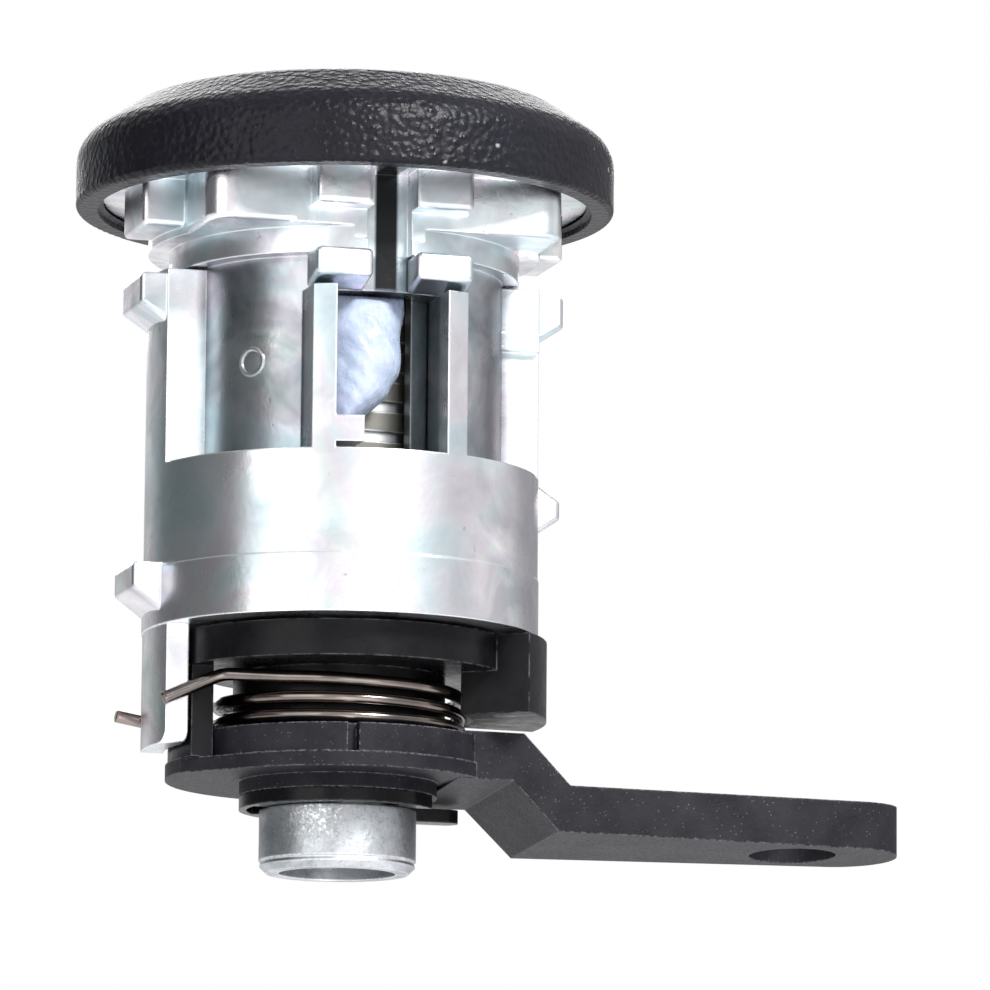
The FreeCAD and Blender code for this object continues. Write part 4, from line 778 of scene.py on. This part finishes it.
def mark_surface(size):
    """A low round ring on the barrel.

    Around u and across v, the arc length is (r + w (v - 1/2)) cos u along the barrel and
    (r + w (v - 1/2)) sin u up it, and the height is h sin(pi v)^0.6 - h / 4, so the rims lie under the skin.
    """
    rows, columns = MARK_AROUND, MARK_ACROSS
    turn = np.linspace(0, 2 * math.pi, rows, endpoint=False)[:, None]
    v = np.linspace(0, 1, columns)[None, :]
    reach = size.mark_radius + size.mark_band * (v - 0.5)
    bearing = size.mark_bearing + reach * np.cos(turn) / size.barrel
    radius = size.barrel + size.mark_height * (np.sin(np.pi * v) ** 0.6 - 0.25) + 0 * turn
    level = size.mark_level + reach * np.sin(turn)
    front = np.stack([radius * np.sin(bearing), -radius * np.cos(bearing), level], axis=-1).reshape(-1, 3)
    row = np.arange(rows)[:, None]
    column = np.arange(columns)[None, :]
    after = (row + 1) % rows
    beside = (column + 1) % columns
    quads = np.stack([row * columns + column, after * columns + column,
                      after * columns + beside, row * columns + beside], axis=-1)
    return front, quads.reshape(-1, 4)


class LOCK_OT_casting_mark(bpy.types.Operator):
    """Makes the small ring mark that the mould leaves on the barrel"""

    bl_idname = "lock.casting_mark"
    bl_label = "Casting Mark"

    def execute(self, context):
        points, faces = mark_surface(context.scene.lock_casting)
        piece = recalculated(mesh_piece("casting_mark", points, faces, bpy.data.materials["Bright Zinc"]))
        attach(piece, "case")
        return {"FINISHED"}


class LOCK_OT_plug(bpy.types.Operator):
    """Gives the plug, its face, the collar, the discs and the shutter their metals"""

    bl_idname = "lock.plug"
    bl_label = "Plug and Discs"

    def execute(self, context):
        looks = finishes()
        tail = cast_metal(
            "Turned Zinc", looks.tail, darker(looks.tail, 0.5),
            roughness=0.30, tint=0.15, grain=2200.0, height=0.00009, flecks=0.35, shade=plug_shade)
        face = cast_metal(
            "Face Zinc", looks.face, darker(looks.face, 0.8),
            roughness=0.34, tint=0.10, grain=2600.0, height=0.00002)
        steel = cast_metal(
            "Stamped Steel", looks.steel, darker(looks.steel, 0.85),
            roughness=0.26, tint=0.05, grain=4200.0, height=0.000008)
        disc = cast_metal(
            "Disc Steel", looks.disc, darker(looks.disc, 0.75),
            roughness=0.34, tint=0.10, grain=3600.0, height=0.00001)
        paint("plug", tail)
        paint("plug_face", face)
        for name in ("front_collar", "shutter", "shutter_pin", "shutter_spring"):
            paint(name, steel)
        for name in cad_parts:
            if name.startswith("tumbler_disc"):
                paint(name, disc)
            if name.startswith("spacer_disc") or name.startswith("sidebar"):
                paint(name, steel)
        return {"FINISHED"}


class LOCK_OT_mouldings(bpy.types.Operator):
    """Gives the carrier, the lever and the clip their dark finishes"""

    bl_idname = "lock.mouldings"
    bl_label = "Carrier, Lever and Clip"

    def execute(self, context):
        looks = finishes()
        paint("spring_carrier", moulded_plastic(
            "Smooth Black", looks.carrier,
            roughness=0.32, grain=900.0, height=0.000008, lift=0.003, gleam=0.4))
        paint("lever", moulded_plastic(
            "Charcoal Plastic", looks.lever,
            roughness=0.50, grain=3200.0, height=0.00004, lift=0.012, gleam=0.6, specks=0.07))
        paint("retaining_clip", moulded_plastic(
            "Black Clip", looks.clip,
            roughness=0.24, grain=2000.0, height=0.000008, lift=0.002, gleam=0.3))
        return {"FINISHED"}


class LOCK_OT_stage(bpy.types.Operator):
    """Makes the floor, the studio light, the world and the camera"""

    bl_idname = "lock.stage"
    bl_label = "Stage"

    def execute(self, context):
        size = context.scene.lock_stage
        make_floor(size)
        make_world()
        for name, place, aim, power, spread in LAMPS:
            make_lamp(name, place, aim, power, spread)
        make_camera(size)
        context.scene.view_settings.view_transform = "Standard"
        return {"FINISHED"}


# Each lamp is its name, its place, the point it aims at, its power and its width
LAMPS = [
    ("key_softbox", (0.16, -0.44, 0.30), (0.0, 0.0, -0.02), 4.4, 0.13),
    ("fill_softbox", (-0.42, -0.36, 0.06), (0.01, 0.0, -0.03), 0.8, 0.36),
    ("low_softbox", (0.02, -0.40, -0.14), (0.01, 0.0, -0.03), 0.45, 0.26),
    ("back_softbox", (0.10, 0.45, 0.24), (0.0, 0.0, -0.01), 1.4, 0.34),
]


# Each flag is its direction, where it is full, where it fades out, its strength and its shade
FLAGS = [
    ((-0.94, 0.34, 0.0), 0.85, 0.45, 0.95, (0.09, 0.10, 0.10, 1.0)),
    ((-0.78, -0.62, -0.05), 0.985, 0.93, 0.60, (0.22, 0.24, 0.24, 1.0)),
    ((0.80, -0.60, 0.0), 0.97, 0.90, 0.40, (0.45, 0.40, 0.43, 1.0)),
    ((0.60, 0.80, 0.0), 0.90, 0.60, 0.80, (0.20, 0.20, 0.21, 1.0)),
    ((0.0, 0.0, 1.0), 0.90, 0.55, 0.50, (0.46, 0.48, 0.49, 1.0)),
]


def make_lamp(name, place, aim, power, spread):
    """A square soft lamp that faces its aim."""
    lamp = bpy.data.lights.new(name, "AREA")
    lamp.energy = power
    lamp.size = spread
    item = bpy.data.objects.new(name, lamp)
    bpy.context.scene.collection.objects.link(item)
    item.location = place
    direction = Vector(aim) - Vector(place)
    item.rotation_euler = direction.to_track_quat("-Z", "Y").to_euler()


def make_floor(size):
    """A wide pale floor below the lock, brighter to the camera and in reflections than as a light."""
    material, graph, place, shader = start_material("Pale Floor")
    cloud = graph.noise(place, 3.0, 2.0, 0.5)
    pale = graph.mix(cloud, (0.86, 0.86, 0.87, 1.0), (0.90, 0.90, 0.91, 1.0))
    graph.feed(shader.inputs["Base Color"], pale)
    shader.inputs["Roughness"].default_value = 0.9
    reach = 3.0
    points = np.array([(-reach, -reach, 0), (reach, -reach, 0), (reach, reach, 0), (-reach, reach, 0)])
    points[:, 2] = size.floor
    piece = mesh_piece("pale_floor", points, [(0, 1, 2, 3)], material, False)
    rays = graph.add("ShaderNodeLightPath")
    seen = graph.math("MAXIMUM", rays.outputs["Is Camera Ray"], rays.outputs["Is Glossy Ray"])
    glow = graph.mix(seen, (0.3, 0.3, 0.3, 1.0), (0.55, 0.55, 0.55, 1.0))
    graph.feed(shader.inputs["Emission Color"], glow)
    shader.inputs["Emission Strength"].default_value = 1.0


def make_world():
    """White for the camera; for reflections a studio with a bright front and darker flags beside it."""
    world = bpy.data.worlds.new("Studio")
    bpy.context.scene.world = world
    world.use_nodes = True
    world.node_tree.nodes.clear()
    graph = Graph(world.node_tree)
    place = graph.add("ShaderNodeTexCoord").outputs["Generated"]
    room = WHITE
    for toward, narrow, wide, strength, shade in FLAGS:
        facing = graph.vector("DOT_PRODUCT", place, toward)
        share = graph.math("MULTIPLY", graph.ramp(facing, wide, narrow), strength)
        room = graph.mix(share, room, shade)
    rays = graph.add("ShaderNodeLightPath")
    mirror = graph.math("MAXIMUM", rays.outputs["Is Glossy Ray"], rays.outputs["Is Transmission Ray"])
    seen = graph.mix(mirror, (0.42, 0.42, 0.43, 1.0), room)
    seen = graph.mix(rays.outputs["Is Camera Ray"], seen, WHITE)
    background = graph.add("ShaderNodeBackground", {"Color": seen})
    output = graph.add("ShaderNodeOutputWorld")
    graph.feed(output.inputs["Surface"], background.outputs[0])


def make_camera(size):
    """The camera, at the photo's angle, which shows the stated width where the lock stands."""
    camera = bpy.data.cameras.new("photo_angle")
    item = bpy.data.objects.new("photo_angle", camera)
    bpy.context.scene.collection.objects.link(item)
    bearing = size.azimuth
    place = Vector((math.sin(bearing) * size.distance, -math.cos(bearing) * size.distance, size.eye))
    aim = Vector(size.aim)
    item.location = place
    facing = (aim - place).to_track_quat("-Z", "Y")
    item.rotation_euler = (facing @ Quaternion((0.0, 0.0, 1.0), size.roll)).to_euler()
    span = (aim - place).length
    camera.sensor_width = 36.0
    camera.lens = camera.sensor_width * span / size.view_width
    camera.clip_start = 0.01
    camera.clip_end = 20.0
    bpy.context.scene.camera = item


class LOCK_PT_panel(bpy.types.Panel):
    """Lists the lock's pieces"""

    bl_idname = "LOCK_PT_panel"
    bl_label = "Door Lock"
    bl_space_type = "VIEW_3D"
    bl_region_type = "UI"
    bl_category = "Door Lock"

    def draw(self, context):
        for operator in OPERATORS:
            self.layout.operator(operator.bl_idname)


OPERATORS = (
    LOCK_OT_trim_cap,
    LOCK_OT_casting,
    LOCK_OT_casting_mark,
    LOCK_OT_plug,
    LOCK_OT_mouldings,
    LOCK_OT_return_spring,
    LOCK_OT_grease,
    LOCK_OT_stage,
)

GROUPS = (
    ("lock_finishes", LockFinishes),
    ("lock_spring", SpringSizes),
    ("lock_casting", CastingSizes),
    ("lock_grease", GreaseSizes),
    ("lock_stage", StageSizes),
)


def register():
    for name, group in GROUPS:
        bpy.utils.register_class(group)
        setattr(bpy.types.Scene, name, PointerProperty(type=group))
    for operator in OPERATORS:
        bpy.utils.register_class(operator)
    bpy.utils.register_class(LOCK_PT_panel)


def unregister():
    bpy.utils.unregister_class(LOCK_PT_panel)
    for operator in reversed(OPERATORS):
        bpy.utils.unregister_class(operator)
    for name, group in reversed(GROUPS):
        delattr(bpy.types.Scene, name)
        bpy.utils.unregister_class(group)


def main():
    register()
    bpy.ops.lock.trim_cap()
    bpy.ops.lock.casting()
    bpy.ops.lock.casting_mark()
    bpy.ops.lock.plug()
    bpy.ops.lock.mouldings()
    bpy.ops.lock.return_spring()
    bpy.ops.lock.grease()
    bpy.ops.lock.stage()


if __name__ == "__main__":
    main()
